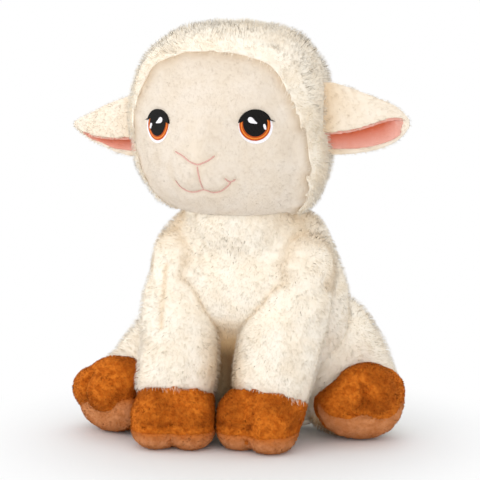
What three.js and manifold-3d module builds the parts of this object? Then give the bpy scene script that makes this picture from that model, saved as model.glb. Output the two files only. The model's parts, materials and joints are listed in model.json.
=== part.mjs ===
// A sitting plush sheep with floppy limbs, in millimetres.
// +Z is up, the sheep looks along -Y, and its own left side is at +X.
import * as THREE from 'three';
import { mergeVertices } from 'three/addons/utils/BufferGeometryUtils.js';
import Module from 'manifold-3d';

const wasm = await Module();
wasm.setup();

// Cloth, fits and cuts
const coverWall = 3;          // knitted backing with its short pile
const hoodPile = 3.5;         // how far the woolly hood stands proud of the face
const clearance = 0.3;        // between pieces that touch
const swingSlack = 0.4;       // more room where a limb slides over the body
const floorPress = 0.5;       // how deep the stuffed forms are pressed flat on the floor
const cutOverrun = 6;         // how far a cutting form runs past what it cuts
const weldDistance = 1e-4;    // points closer than this are one point
const sliver = 0.02;          // cuts leave slivers up to this wide, and they are closed up

// Facets of the forms, as steps around and rings from end to end
const facetCounts = {
  torso: [24, 12], head: [32, 16], leg: [16, 9], toe: [12, 7], tail: [12, 8], pelletBag: [16, 7],
  ball: [24, 12], cone: 24, seat: 24, face: 30, eye: 16, lash: 9, nose: 12, smile: 14, ear: [7, 8],
};
const evenShares = [1, 1, 1];

// How square a form is where it closes at its low and at its high end: 2 is an oval
const torsoRoundShares = [4, 3.6];
const pelletBagRoundShares = [3, 2.2];
const headRoundShares = [3, 2.7];
const legRoundShares = [4, 2.4];
const toeRoundShares = [2.6, 2.2];
const tailRoundShares = [2.2, 2.6];

// Torso, a pear that leans back as it sits
const torso = { height: 156, halfWidth: 60, front: 42, back: 42, setBack: 36 };
const torsoWidthShares = [0.9, 0.99, 1.0, 0.97, 0.89, 0.82, 0.78];
const torsoFrontShares = [0.5, 0.57, 0.66, 0.88, 0.95, 0.8, 0.66];
const torsoBackShares = [0.72, 0.76, 0.78, 0.86, 0.9, 0.76, 0.62];
const torsoSpineShares = [1, 1, 0.95, 0.62, 0.36, 0.22, 0.12];
const bib = { halfWidth: 33, top: 140, bottom: 74 };
const bibOutlineShares = [
  [0, 0], [0.24, 0.03], [0.46, 0.14], [0.66, 0.3], [0.84, 0.48], [0.96, 0.7], [1, 1],
];
const seat = { halfWidth: 40, halfDepth: 22, rise: 9 };
const pelletBag = { halfWidth: 34, halfDepth: 19, height: 30 };

// Neck, a firm ball of filling that the head turns and nods on
const neck = { y: -4, sink: 11, ball: 36, slack: 0.4, flatTop: 22, flatBottom: 5 };
const nodReach = 10;          // degrees of nod that the gap over the shoulders leaves
const jawSlope = 3;           // how far the head's underside falls away from level at the neck

// Head
const head = { y: -12, rise: 47, halfWidth: 52, halfHeight: 51.5, front: 46.5, back: 47 };
const headPlanShare = 2.5;    // how square the head is, seen from above
const headTurn = -3;          // degrees that the head is turned as the toy sits
const headWidthShares = [0.98, 1, 1, 0.99, 0.97];
const headFrontShares = [0.94, 1.0, 1.0, 0.97, 0.92];
const headBackShares = [0.88, 0.96, 1.0, 1.0, 0.95];
const muzzle = { reach: 11.5, drop: 21, spreadX: 21, spreadZ: 21, blunt: 2.6 };
const faceWindow = { halfWidth: 50, top: 42, bottom: 60 };
const faceOutlineShares = [
  [0, 1], [0.6, 0.86], [0.84, 0.5], [1, -0.12], [0.97, -0.45], [0.8, -0.74], [0.44, -0.94], [0, -1],
];

// Embroidery
const eye = {
  side: 28, ahead: 40, rise: 1.5, turnOut: 26, white: 9.2, iris: 8, pupil: 6.2, lift: 0.8, squash: 1.04,
};
const lash = { radius: 10.4, width: 1.7, from: 16, to: 168, flick: 2.6, flickBend: 5 };
const lashWidthShares = [0.59, 0.96, 0.92, 0.48, 0.25];
const stitch = { width: 1.7, height: 1.1 };
const nose = { halfWidth: 12, rise: 5, drop: 17 };
const mouth = { halfWidth: 16, drop: 33, dip: 4.5 };

// Ears
const ear = {
  rootX: 54, y: -8, sink: 1, length: 46, height: 42, thick: 9, sweep: 14.5, drop: 3, wall: 3, lining: 1.8,
};
const earHeightShares = [1, 1, 0.93, 0.74, 0.32];
const earThickShares = [1, 1.1, 1.05, 0.85, 0.45];
const earLiftShares = [0, 0, 0.02, 0.06, 0.16];
const earFrontLip = 66;
const earBackLip = 92;

// Legs: the shape of one, seen from its sole upwards
const foot = { soleRise: 12, toeX: 9.8, toeHalfWidth: 15, toeLength: 17.5, toeHeight: 18 };
const frontLeg = {
  length: 124, halfWidth: 25, front: 22, back: 21, seamHeight: 31, seamTilt: 24, shoulder: 108,
  toeReach: 27,
};
const frontWidthShares = [0.9, 0.95, 0.94, 0.98, 1, 0.98, 0.85];
const frontDepthShares = [0.86, 0.94, 0.92, 0.96, 1, 1, 0.85];
const hindLeg = {
  length: 62, halfWidth: 28, front: 66, back: 23.5, seamHeight: 17, seamTilt: 0, shoulder: 40,
  toeReach: 21.5,
};
const hindWidthShares = [0.9, 0.92, 0.95, 1.02, 1.08, 1, 0.8];
const hindTopShares = [0.32, 0.33, 0.38, 0.52, 0.78, 0.97, 0.85];
const hindHeelShares = [0.92, 1, 1, 1, 1, 0.95, 0.8];

// How the toy sits: where each sole and each sewn hip or shoulder is, and how far its toes turn and roll
const stance = {
  front_left: { foot: [19, -8], hip: [33, -7], toeYaw: -14, roll: 0 },
  front_right: { foot: [-33, -14], hip: [-33, -7], toeYaw: 9, roll: 0 },
  hind_left: { foot: [73, 12], hip: [40, 60], toeYaw: 27, roll: 5 },
  hind_right: { foot: [-80, -8], hip: [-42, 50], toeYaw: -32, roll: -20 },
};
const swings = {
  front: [0, 10, 20, 30],
  hind: [0, 8, 16, 25],
  ear: [-20, -10, 0, 12, 25],
  tail: [0, 12, 24, 35],
};

// Tail
const tail = { y: 66, z: 50, length: 40, halfWidth: 12, halfDepth: 7, lean: 20 };
const tailWidthShares = [0.8, 1, 0.85];
const tailDepthShares = [0.8, 1, 0.9];

// Colours of the cloths and threads
const cloths = {
  wool: { color: '#f6ecd8', roughness: 0.95, metalness: 0 },
  shortPlush: { color: '#f2e6d0', roughness: 0.9, metalness: 0 },
  filling: { color: '#fbfbf8', roughness: 1, metalness: 0 },
  pellets: { color: '#d9d4c8', roughness: 0.8, metalness: 0 },
  velour: { color: '#b5651d', roughness: 0.85, metalness: 0 },
  soleSuede: { color: '#c07a40', roughness: 0.8, metalness: 0 },
  pinkPlush: { color: '#e8a590', roughness: 0.9, metalness: 0 },
  whiteThread: { color: '#f7f7f5', roughness: 0.6, metalness: 0 },
  amberThread: { color: '#b9561b', roughness: 0.55, metalness: 0 },
  blackThread: { color: '#141210', roughness: 0.5, metalness: 0 },
  pinkThread: { color: '#d98c84', roughness: 0.6, metalness: 0 },
};

// Meshes and solids
function toSolid(geometry) {
  const bare = new THREE.BufferGeometry();
  bare.setAttribute('position', geometry.getAttribute('position').clone());
  if (geometry.index) bare.setIndex(geometry.index.clone());
  const merged = mergeVertices(bare, weldDistance);
  const mesh = new wasm.Mesh({
    numProp: 3,
    vertProperties: new Float32Array(merged.attributes.position.array),
    triVerts: new Uint32Array(merged.index.array),
  });
  mesh.merge();
  return new wasm.Manifold(mesh);
}

function toGeometry(solid) {
  const mesh = solid.simplify(sliver).getMesh();
  const geometry = new THREE.BufferGeometry();
  geometry.setAttribute('position', new THREE.BufferAttribute(new Float32Array(mesh.vertProperties), 3));
  geometry.setIndex(new THREE.BufferAttribute(new Uint32Array(mesh.triVerts), 1));
  return geometry;
}

function addPiece(group, name, solid, cloth) {
  const geometry = toGeometry(solid);
  group.updateWorldMatrix(true, false);
  geometry.applyMatrix4(group.matrixWorld.clone().invert());
  geometry.computeVertexNormals();
  const mesh = new THREE.Mesh(geometry, new THREE.MeshStandardMaterial(cloths[cloth]));
  mesh.name = name;
  group.add(mesh);
}

// The value of a row of evenly spaced shares at t from 0 to 1, as a smooth curve.
function smoothShares(shares) {
  const curve = new THREE.SplineCurve(shares.map((share, i) => new THREE.Vector2(share, i)));
  return (t) => curve.getPoint(t).x;
}

function signedPower(value, power) {
  return Math.sign(value) * Math.abs(value) ** power;
}

// A stuffed form along +Z: oval rings with their own front and back, and a rounded end at each pole.
// Its spine may lean and its rings may twist on the way up.
function stuffedForm(form, [around, rings]) {
  const width = smoothShares(form.widthShares);
  const front = smoothShares(form.frontShares);
  const back = smoothShares(form.backShares);
  const spine = form.spine ?? (() => [0, 0]);
  const twist = form.twist ?? (() => 0);
  const [roundLow, roundHigh] = form.rounds;
  const plan = 2 / (form.planShare ?? 2);
  const middle = (form.low + form.high) / 2;
  const half = (form.high - form.low) / 2;
  const places = [];
  for (let ring = 0; ring <= rings; ring += 1) {
    const phi = Math.PI * ring / rings;
    const round = ring < rings / 2 ? roundLow : roundHigh;
    const rise = -signedPower(Math.cos(phi), 2 / round);
    const cap = ring % rings === 0 ? 0 : Math.sin(phi) ** (2 / round);
    const t = (rise + 1) / 2;
    const [spineX, spineY] = spine(t);
    const count = cap === 0 ? 1 : around;
    for (let step = 0; step < count; step += 1) {
      const angle = 2 * Math.PI * step / around;
      const depth = Math.sin(angle) < 0 ? form.front * front(t) : form.back * back(t);
      const x = cap * form.halfWidth * width(t) * signedPower(Math.cos(angle), plan);
      const y = cap * depth * signedPower(Math.sin(angle), plan);
      const ringPoint = new THREE.Vector2(x, y).rotateAround(new THREE.Vector2(), twist(t));
      places.push(spineX + ringPoint.x, spineY + ringPoint.y, middle + half * rise);
    }
  }
  return closeRings(places, around, rings);
}

// Joins a pole, rows of points and a second pole into one closed skin.
function closeRings(places, around, rings) {
  const faces = [];
  const last = places.length / 3 - 1;
  const at = (ring, step) => 1 + (ring - 1) * around + step % around;
  for (let step = 0; step < around; step += 1) {
    faces.push(0, at(1, step + 1), at(1, step));
    faces.push(last, at(rings - 1, step), at(rings - 1, step + 1));
    for (let ring = 1; ring < rings - 1; ring += 1) {
      faces.push(at(ring, step), at(ring, step + 1), at(ring + 1, step));
      faces.push(at(ring, step + 1), at(ring + 1, step + 1), at(ring + 1, step));
    }
  }
  const geometry = new THREE.BufferGeometry();
  geometry.setAttribute('position', new THREE.Float32BufferAttribute(places, 3));
  geometry.setIndex(faces);
  geometry.computeVertexNormals();
  return geometry;
}

// The same skin, moved out along its normals, or in where the distance is negative.
function grown(geometry, distance) {
  const moved = geometry.clone();
  const place = moved.getAttribute('position');
  const normal = geometry.getAttribute('normal');
  for (let i = 0; i < place.count; i += 1) {
    place.setXYZ(
      i,
      place.getX(i) + distance * normal.getX(i),
      place.getY(i) + distance * normal.getY(i),
      place.getZ(i) + distance * normal.getZ(i),
    );
  }
  return moved;
}

function placedSolid(geometry, matrix) {
  return toSolid(geometry.clone().applyMatrix4(matrix));
}

// A straight prism of an outline, from one height to another along the axis that the matrix gives +Z.
function prism(points, from, to, matrix) {
  const geometry = new THREE.ExtrudeGeometry(new THREE.Shape(points), {
    depth: to - from, bevelEnabled: false, steps: 1,
  });
  geometry.translate(0, 0, from);
  return placedSolid(geometry, matrix);
}

function slab(lowZ, highZ, reach) {
  const box = new THREE.BoxGeometry(2 * reach, 2 * reach, highZ - lowZ);
  box.translate(0, 0, (lowZ + highZ) / 2);
  return box;
}

function turnAbout(point, axis, degrees) {
  const turn = new THREE.Matrix4().makeRotationAxis(axis, THREE.MathUtils.degToRad(degrees));
  const there = new THREE.Matrix4().makeTranslation(point.x, point.y, point.z);
  const back = new THREE.Matrix4().makeTranslation(-point.x, -point.y, -point.z);
  return there.multiply(turn).multiply(back);
}

// The room that its neighbours take as a limb swings through its poses, seen from the limb.
function roomOf(neighbours, hinge, axis, poses) {
  const turned = poses.flatMap((pose) => {
    const turn = turnAbout(hinge, axis, -pose);
    return neighbours.map((neighbour) => placedSolid(neighbour, turn));
  });
  return turned.reduce((all, solid) => all.add(solid));
}

function largestBody(solid) {
  const bodies = solid.decompose();
  return bodies.reduce((best, body) => (body.volume() > best.volume() ? body : best));
}

// Turns a prism's +Z to -Y, so that an outline drawn as x and z faces forward.
const facingForward = new THREE.Matrix4().makeRotationX(Math.PI / 2);
const floorCut = toSolid(slab(-2 * torso.height, 0, 2 * torso.height));
const sheep = new THREE.Group();

// Torso
const torsoSpine = smoothShares(torsoSpineShares);
const torsoSkin = stuffedForm({
  low: -floorPress, high: torso.height, rounds: torsoRoundShares,
  halfWidth: torso.halfWidth, front: torso.front, back: torso.back,
  widthShares: torsoWidthShares, frontShares: torsoFrontShares, backShares: torsoBackShares,
  spine: (t) => [0, torso.setBack * torsoSpine(t)],
}, facetCounts.torso);
const neckPoint = new THREE.Vector3(0, neck.y, torso.height - neck.sink);
const headZ = neckPoint.z + head.rise;
const earZ = headZ - ear.sink;

function neckBall(radius) {
  const ball = new THREE.SphereGeometry(radius, ...facetCounts.ball);
  ball.rotateX(Math.PI / 2);
  ball.translate(...neckPoint);
  return toSolid(ball);
}

// Everything above a shallow cone that falls away from the neck, which leaves the head room to nod.
function aboveShoulders() {
  const reach = torso.halfWidth + cutOverrun;
  const fall = reach * Math.tan(THREE.MathUtils.degToRad(jawSlope + nodReach));
  const profile = [
    new THREE.Vector2(0, 0),
    new THREE.Vector2(reach, -fall),
    new THREE.Vector2(reach, torso.height),
    new THREE.Vector2(0, torso.height),
  ];
  const cone = new THREE.LatheGeometry(profile, facetCounts.cone);
  cone.rotateX(Math.PI / 2);
  cone.translate(...neckPoint);
  return toSolid(cone);
}

function smoothOutline(halfPoints, divisions) {
  const right = halfPoints.map(([x, z]) => new THREE.Vector3(x, z, 0));
  const left = halfPoints.filter(([x]) => x > 0).reverse().map(([x, z]) => new THREE.Vector3(-x, z, 0));
  const curve = new THREE.CatmullRomCurve3([...right, ...left], true, 'centripetal');
  return curve.getPoints(divisions).slice(0, -1).map((p) => new THREE.Vector2(p.x, p.y));
}

function bibPrism(gap) {
  const rise = bib.top - bib.bottom;
  const right = bibOutlineShares.map(([x, z]) => [
    x * bib.halfWidth - (x > 0 ? gap : 0),
    bib.bottom + z * rise + gap,
  ]);
  const outline = [...right, ...right.slice(1).reverse().map(([x, z]) => [-x, z])];
  const points = outline.map(([x, z]) => new THREE.Vector2(x, z));
  return prism(points, 0, 2 * torso.front, facingForward);
}

function ovalPoints(halfWidth, halfDepth, divisions) {
  return new THREE.EllipseCurve(0, 0, halfWidth, halfDepth).getPoints(divisions).slice(0, -1);
}

function seatPrism(gap) {
  const centre = new THREE.Matrix4().makeTranslation(0, torso.setBack, 0);
  const points = ovalPoints(seat.halfWidth - gap, seat.halfDepth - gap, facetCounts.seat);
  return prism(points, -cutOverrun, seat.rise, centre);
}

function buildTorso() {
  const group = new THREE.Group();
  sheep.add(group);
  const shoulders = aboveShoulders();
  const socket = neckBall(neck.ball + neck.slack);
  const outer = toSolid(torsoSkin).subtract(floorCut).subtract(shoulders).subtract(socket);
  const inner = toSolid(grown(torsoSkin, -coverWall));
  const shell = outer.subtract(inner);
  const cover = shell.subtract(bibPrism(0)).subtract(seatPrism(0));
  addPiece(group, 'body_cover', largestBody(cover), 'wool');
  addPiece(group, 'chest_panel', largestBody(shell.intersect(bibPrism(clearance))), 'wool');
  addPiece(group, 'base_panel', largestBody(shell.intersect(seatPrism(clearance))), 'shortPlush');
  const pocket = stuffedForm({
    low: 0, high: pelletBag.height, rounds: pelletBagRoundShares,
    halfWidth: pelletBag.halfWidth, front: pelletBag.halfDepth, back: pelletBag.halfDepth,
    widthShares: evenShares, frontShares: evenShares, backShares: evenShares,
  }, facetCounts.pelletBag);
  pocket.translate(0, torso.setBack, 0);
  const fillingSkin = toSolid(grown(torsoSkin, -coverWall - clearance));
  const filling = fillingSkin.subtract(socket).subtract(shoulders).subtract(toSolid(pocket));
  addPiece(group, 'body_stuffing', largestBody(filling), 'filling');
  const bag = toSolid(grown(pocket, -clearance)).intersect(fillingSkin);
  addPiece(group, 'pellet_bag', largestBody(bag), 'pellets');
}

function buildNeck() {
  const group = new THREE.Group();
  group.position.copy(neckPoint);
  sheep.add(group);
  const top = neckPoint.z + neck.ball - neck.flatTop;
  const bottom = neckPoint.z - neck.ball + neck.flatBottom;
  const core = neckBall(neck.ball - clearance).intersect(toSolid(slab(bottom, top, torso.height)));
  addPiece(group, 'neck_core', core, 'filling');
}

// Head
const headSkin = stuffedForm({
  low: headZ - head.halfHeight, high: headZ + head.halfHeight,
  rounds: headRoundShares, planShare: headPlanShare,
  halfWidth: head.halfWidth, front: head.front, back: head.back,
  widthShares: headWidthShares, frontShares: headFrontShares, backShares: headBackShares,
  spine: () => [0, head.y],
}, facetCounts.head);
pushForward(headSkin);

// Draws the muzzle forward out of the round face.
function pushForward(geometry) {
  const place = geometry.getAttribute('position');
  for (let i = 0; i < place.count; i += 1) {
    const ahead = head.y - place.getY(i);
    if (ahead > 0) {
      const x = place.getX(i) / muzzle.spreadX;
      const z = (place.getZ(i) - headZ + muzzle.drop) / muzzle.spreadZ;
      const swell = Math.exp(-(Math.hypot(x, z) ** muzzle.blunt) / 2) * Math.min(1, ahead / head.front);
      place.setY(i, place.getY(i) - muzzle.reach * swell);
    }
  }
  geometry.computeVertexNormals();
}

function facePrism(gap) {
  const halfWidth = faceWindow.halfWidth - gap;
  const halfPoints = faceOutlineShares.map(([x, z]) => [
    x * halfWidth,
    headZ + z * ((z > 0 ? faceWindow.top : faceWindow.bottom) - gap),
  ]);
  const outline = smoothOutline(halfPoints, facetCounts.face);
  return prism(outline, -head.y, -head.y + 2 * head.front, facingForward);
}

// The thin layer of thread that lies on the face, between two heights above it.
function threadLayer() {
  const low = toSolid(grown(headSkin, clearance));
  return toSolid(grown(headSkin, clearance + stitch.height)).subtract(low);
}

function buildHead(group) {
  const socket = neckBall(neck.ball + neck.slack);
  const inner = toSolid(grown(headSkin, -coverWall));
  const hood = toSolid(grown(headSkin, hoodPile)).subtract(inner).subtract(facePrism(0)).subtract(socket);
  addPiece(group, 'wool_hood', largestBody(hood), 'wool');
  const panel = toSolid(headSkin).subtract(inner).intersect(facePrism(clearance)).subtract(socket);
  addPiece(group, 'face_panel', largestBody(panel), 'shortPlush');
  const filling = toSolid(grown(headSkin, -coverWall - clearance)).subtract(socket);
  addPiece(group, 'head_stuffing', largestBody(filling), 'filling');
  const layer = threadLayer();
  for (const side of [1, -1]) buildEye(group, layer, side);
  buildNoseAndMouth(group, layer);
}

function circlePoints(radius, lift) {
  const points = ovalPoints(radius, radius * eye.squash, facetCounts.eye);
  return points.map((point) => new THREE.Vector2(point.x, point.y + lift));
}

// One embroidered eye: white, amber ring, black pupil and the lash line over it.
function buildEye(group, layer, side) {
  const name = side > 0 ? 'left' : 'right';
  const turnOut = THREE.MathUtils.degToRad(eye.turnOut);
  const start = side * (eye.side - eye.ahead * Math.tan(turnOut));
  const look = new THREE.Matrix4().makeTranslation(start, head.y, headZ + eye.rise)
    .multiply(new THREE.Matrix4().makeRotationZ(side * turnOut))
    .multiply(facingForward);
  const reach = 2 * head.front;
  const disc = (radius, lift) => prism(circlePoints(radius, lift), 0, reach, look);
  const white = disc(eye.white, 0).subtract(disc(eye.iris, eye.lift));
  const iris = disc(eye.iris - clearance, eye.lift).subtract(disc(eye.pupil, 2 * eye.lift));
  const pupil = disc(eye.pupil - clearance, 2 * eye.lift);
  addPiece(group, 'eye_white_' + name, largestBody(layer.intersect(white)), 'whiteThread');
  addPiece(group, 'eye_iris_' + name, largestBody(layer.intersect(iris)), 'amberThread');
  addPiece(group, 'eye_pupil_' + name, largestBody(layer.intersect(pupil)), 'blackThread');
  const brow = prism(lashPoints(side), 0, reach, look);
  addPiece(group, 'eye_lash_' + name, largestBody(layer.intersect(brow)), 'blackThread');
}

// The lash line: an arc over the eye that thickens outward and ends in a flick.
function lashPoints(side) {
  const width = smoothShares(lashWidthShares);
  const outer = [];
  const inner = [];
  const at = (radius, angle) => new THREE.Vector2(side * radius, radius)
    .multiply(new THREE.Vector2(Math.cos(angle), Math.sin(angle)));
  for (let i = 0; i <= facetCounts.lash; i += 1) {
    const t = i / facetCounts.lash;
    const angle = THREE.MathUtils.degToRad(THREE.MathUtils.lerp(lash.from, lash.to, t));
    const radius = lash.radius + lash.flick * (1 - t) ** lash.flickBend;
    const halfWidth = lash.width * width(t) / 2;
    outer.push(at(radius + halfWidth, angle));
    inner.push(at(radius - halfWidth, angle));
  }
  return [...outer, ...inner.reverse()];
}

// A band of thread of even width along a curve drawn as x and z.
function strokePoints(curve, divisions) {
  const left = [];
  const right = [];
  for (let i = 0; i <= divisions; i += 1) {
    const point = curve.getPoint(i / divisions);
    const along = curve.getTangent(i / divisions);
    const side = new THREE.Vector2(-along.y, along.x).multiplyScalar(stitch.width / 2);
    left.push(point.clone().add(side));
    right.push(point.clone().sub(side));
  }
  return [...right, ...left.reverse()];
}

// A shallow V or smile: its ends lie above the height and its middle dips below it.
function dippedCurve(halfWidth, height, dip) {
  return new THREE.QuadraticBezierCurve(
    new THREE.Vector2(-halfWidth, height + dip),
    new THREE.Vector2(0, height - dip),
    new THREE.Vector2(halfWidth, height + dip),
  );
}

function buildNoseAndMouth(group, layer) {
  const reach = 3 * head.front;
  const noseZ = headZ - nose.drop;
  const mouthZ = headZ - mouth.drop;
  const band = (curve, divisions) => prism(strokePoints(curve, divisions), 0, reach, facingForward);
  const noseBand = band(dippedCurve(nose.halfWidth, noseZ, nose.rise), facetCounts.nose);
  addPiece(group, 'nose_stitch', largestBody(layer.intersect(noseBand)), 'pinkThread');
  const philtrum = new THREE.LineCurve(
    new THREE.Vector2(0, noseZ - stitch.width / 2 - clearance),
    new THREE.Vector2(0, mouthZ),
  );
  const mouthBand = band(dippedCurve(mouth.halfWidth, mouthZ, mouth.dip), facetCounts.smile)
    .add(band(philtrum, 1))
    .subtract(noseBand);
  addPiece(group, 'mouth_stitch', largestBody(layer.intersect(mouthBand)), 'pinkThread');
}

// A folded leaf as a closed sheet between two distances from its inner surface. Each row of points
// is an arc of an oval whose fold lies along the top, from the front lip over to the back lip.
function earSheet(side, inside, outside) {
  const [lengthSteps, arcSteps] = facetCounts.ear;
  const height = smoothShares(earHeightShares);
  const thick = smoothShares(earThickShares);
  const lift = smoothShares(earLiftShares);
  const places = [];
  for (const distance of [outside, inside]) {
    for (let i = 0; i <= lengthSteps; i += 1) {
      const u = i / lengthSteps;
      const x = side * (ear.rootX - cutOverrun + (ear.length + cutOverrun) * u);
      const middleY = ear.y + ear.sweep * u;
      const bottom = earZ - ear.height / 2 - ear.drop * u + 2 * ear.height * lift(u);
      const halfDepth = ear.thick * thick(u) + distance;
      const rise = ear.height * height(u) + distance;
      for (let j = 0; j <= arcSteps; j += 1) {
        const fold = THREE.MathUtils.degToRad(THREE.MathUtils.lerp(-earFrontLip, earBackLip, j / arcSteps));
        places.push(x, middleY + halfDepth * Math.sin(fold), bottom + rise * Math.cos(fold));
      }
    }
  }
  return closeSheet(places, lengthSteps, arcSteps, side);
}

// Joins two equal grids of points into one closed sheet.
function closeSheet(places, lengthSteps, arcSteps, side) {
  const row = arcSteps + 1;
  const layer = (lengthSteps + 1) * row;
  const faces = [];
  const quad = (a, b, c, d) => {
    if (side > 0) faces.push(a, b, c, a, c, d);
    else faces.push(a, c, b, a, d, c);
  };
  for (let i = 0; i < lengthSteps; i += 1) {
    for (let j = 0; j < arcSteps; j += 1) {
      const a = i * row + j;
      quad(a, a + row, a + row + 1, a + 1);
      quad(layer + a, layer + a + 1, layer + a + row + 1, layer + a + row);
    }
    const near = i * row;
    const far = near + arcSteps;
    quad(near, layer + near, layer + near + row, near + row);
    quad(far, far + row, layer + far + row, layer + far);
  }
  for (let j = 0; j < arcSteps; j += 1) {
    const end = lengthSteps * row + j;
    quad(j, j + 1, layer + j + 1, layer + j);
    quad(end, layer + end, layer + end + 1, end + 1);
  }
  const geometry = new THREE.BufferGeometry();
  geometry.setAttribute('position', new THREE.Float32BufferAttribute(places, 3));
  geometry.setIndex(faces);
  return geometry;
}

function buildEar(headGroup, side) {
  const name = side > 0 ? 'left' : 'right';
  const hinge = new THREE.Vector3(side * ear.rootX, ear.y, earZ);
  const axis = new THREE.Vector3(0, 0, -side);
  const group = new THREE.Group();
  group.position.copy(hinge).sub(neckPoint);
  headGroup.add(group);
  const largeHead = grown(headSkin, hoodPile + clearance);
  const room = roomOf([largeHead], hinge, axis, swings.ear);
  const outer = toSolid(earSheet(side, 0, ear.wall)).subtract(room);
  addPiece(group, 'ear_' + name, largestBody(outer), 'shortPlush');
  const lining = toSolid(earSheet(side, -clearance - ear.lining, -clearance)).subtract(room);
  addPiece(group, 'ear_lining_' + name, largestBody(lining), 'pinkPlush');
}

// Legs
function toe(side, reach, roll) {
  const form = stuffedForm({
    low: -floorPress, high: 2 * foot.toeHeight - floorPress, rounds: toeRoundShares,
    halfWidth: foot.toeHalfWidth, front: foot.toeLength, back: foot.toeLength,
    widthShares: evenShares, frontShares: evenShares, backShares: evenShares,
  }, facetCounts.toe);
  form.translate(side * foot.toeX, foot.toeLength - reach, 0);
  form.rotateZ(roll);
  return form;
}

// The seam where the leg's fur meets the hoof, as everything below a tilted plane.
function belowSeam(leg, gap) {
  const reach = 2 * leg.length;
  const box = slab(-reach, gap, reach);
  box.rotateX(THREE.MathUtils.degToRad(-leg.seamTilt));
  box.translate(0, 0, leg.seamHeight);
  return box;
}

// What a hind leg lies against
const frontLegSkins = {};

function buildLeg(key, kind, leg, shares, place, lean, hinge, axis, poses) {
  const roll = THREE.MathUtils.degToRad(stance[key].roll);
  const side = key.endsWith('left') ? 'left' : 'right';
  const group = new THREE.Group();
  group.position.copy(hinge);
  sheep.add(group);
  const skin = stuffedForm({
    low: -floorPress, high: leg.length, rounds: legRoundShares,
    halfWidth: leg.halfWidth, front: leg.front, back: leg.back,
    widthShares: shares.width, frontShares: shares.front, backShares: shares.back,
    spine: (t) => [lean.x * t, lean.y * t], twist: (t) => roll * (1 - t),
  }, facetCounts.leg);
  const inWorld = (geometry) => placedSolid(geometry, place);
  const bare = inWorld(skin);
  const toes = inWorld(toe(1, leg.toeReach, roll)).add(inWorld(toe(-1, leg.toeReach, roll)));
  const hollow = inWorld(grown(skin, -coverWall));
  const neighbours = [grown(torsoSkin, clearance + swingSlack)];
  if (kind === 'hind') neighbours.push(frontLegSkins[side]);
  else frontLegSkins[side] = grown(skin, clearance + swingSlack).applyMatrix4(place);
  const room = roomOf(neighbours, hinge, axis, poses).add(floorCut);
  const reach = 2 * leg.halfWidth;
  const underSeam = inWorld(belowSeam(leg, 0));
  const overSeam = inWorld(belowSeam(leg, clearance));
  const sole = inWorld(slab(-cutOverrun, foot.soleRise, reach));
  const overSole = inWorld(slab(-cutOverrun, foot.soleRise + clearance, reach));
  const sleeve = bare.subtract(overSeam).subtract(hollow).subtract(room);
  const hoofSkin = bare.add(toes).subtract(room);
  const hoof = hoofSkin.intersect(underSeam).subtract(overSole).subtract(hollow);
  const core = inWorld(grown(skin, -coverWall - clearance)).subtract(overSole).subtract(room);
  addPiece(group, kind + '_leg_' + side, largestBody(sleeve), 'wool');
  addPiece(group, kind + '_leg_stuffing_' + side, largestBody(core), 'filling');
  addPiece(group, kind + '_hoof_' + side, largestBody(hoof), 'velour');
  addPiece(group, kind + '_sole_' + side, largestBody(hoofSkin.intersect(sole)), 'soleSuede');
}

// How far the spine of a leg leans sideways and back on its way up to the hip, in the leg's own frame.
function leanTo(place, target) {
  const inward = target.clone().applyMatrix4(place.clone().invert());
  return new THREE.Vector2(inward.x, inward.y);
}

// A front leg stands on its sole and leans to its shoulder.
function buildFrontLeg(side) {
  const key = side > 0 ? 'front_left' : 'front_right';
  const { foot: [x, y], hip: [hipX, hipY], toeYaw } = stance[key];
  const place = new THREE.Matrix4().makeTranslation(x, y, 0)
    .multiply(new THREE.Matrix4().makeRotationZ(THREE.MathUtils.degToRad(toeYaw)));
  const hinge = new THREE.Vector3(hipX, hipY, frontLeg.shoulder);
  const shares = { width: frontWidthShares, front: frontDepthShares, back: frontDepthShares };
  const axis = new THREE.Vector3(-1, 0, 0);
  buildLeg(key, 'front', frontLeg, shares, place, leanTo(place, hinge), hinge, axis, swings.front);
}

// A hind leg lies along the floor with its sole turned to the front and its toes up.
function buildHindLeg(side) {
  const key = side > 0 ? 'hind_left' : 'hind_right';
  const { foot: [x, y], hip: [hipX, hipY], toeYaw } = stance[key];
  const rest = hindLeg.back * hindHeelShares[1] - floorPress;
  const yaw = THREE.MathUtils.degToRad(toeYaw);
  const place = new THREE.Matrix4().makeTranslation(x, y, rest)
    .multiply(new THREE.Matrix4().makeRotationZ(yaw))
    .multiply(new THREE.Matrix4().makeRotationX(-Math.PI / 2));
  const hip = new THREE.Vector3(hipX, hipY, rest);
  const hinge = new THREE.Vector3(x, y, rest).lerp(hip, hindLeg.shoulder / hindLeg.length);
  const axis = new THREE.Vector3(-1, 0, 0).applyAxisAngle(new THREE.Vector3(0, 0, 1), yaw);
  const shares = { width: hindWidthShares, front: hindTopShares, back: hindHeelShares };
  buildLeg(key, 'hind', hindLeg, shares, place, leanTo(place, hip), hinge, axis, swings.hind);
}

function buildTail() {
  const group = new THREE.Group();
  group.position.set(0, tail.y, tail.z);
  sheep.add(group);
  const form = stuffedForm({
    low: -tail.length, high: 0, rounds: tailRoundShares,
    halfWidth: tail.halfWidth, front: tail.halfDepth, back: tail.halfDepth,
    widthShares: tailWidthShares, frontShares: tailDepthShares, backShares: tailDepthShares,
  }, facetCounts.tail);
  form.rotateX(THREE.MathUtils.degToRad(tail.lean));
  form.translate(0, tail.y, tail.z);
  const hinge = new THREE.Vector3(0, tail.y, tail.z);
  const body = grown(torsoSkin, clearance + swingSlack);
  const room = roomOf([body], hinge, new THREE.Vector3(1, 0, 0), swings.tail);
  addPiece(group, 'tail', largestBody(toSolid(form).subtract(room)), 'wool');
}

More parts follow.
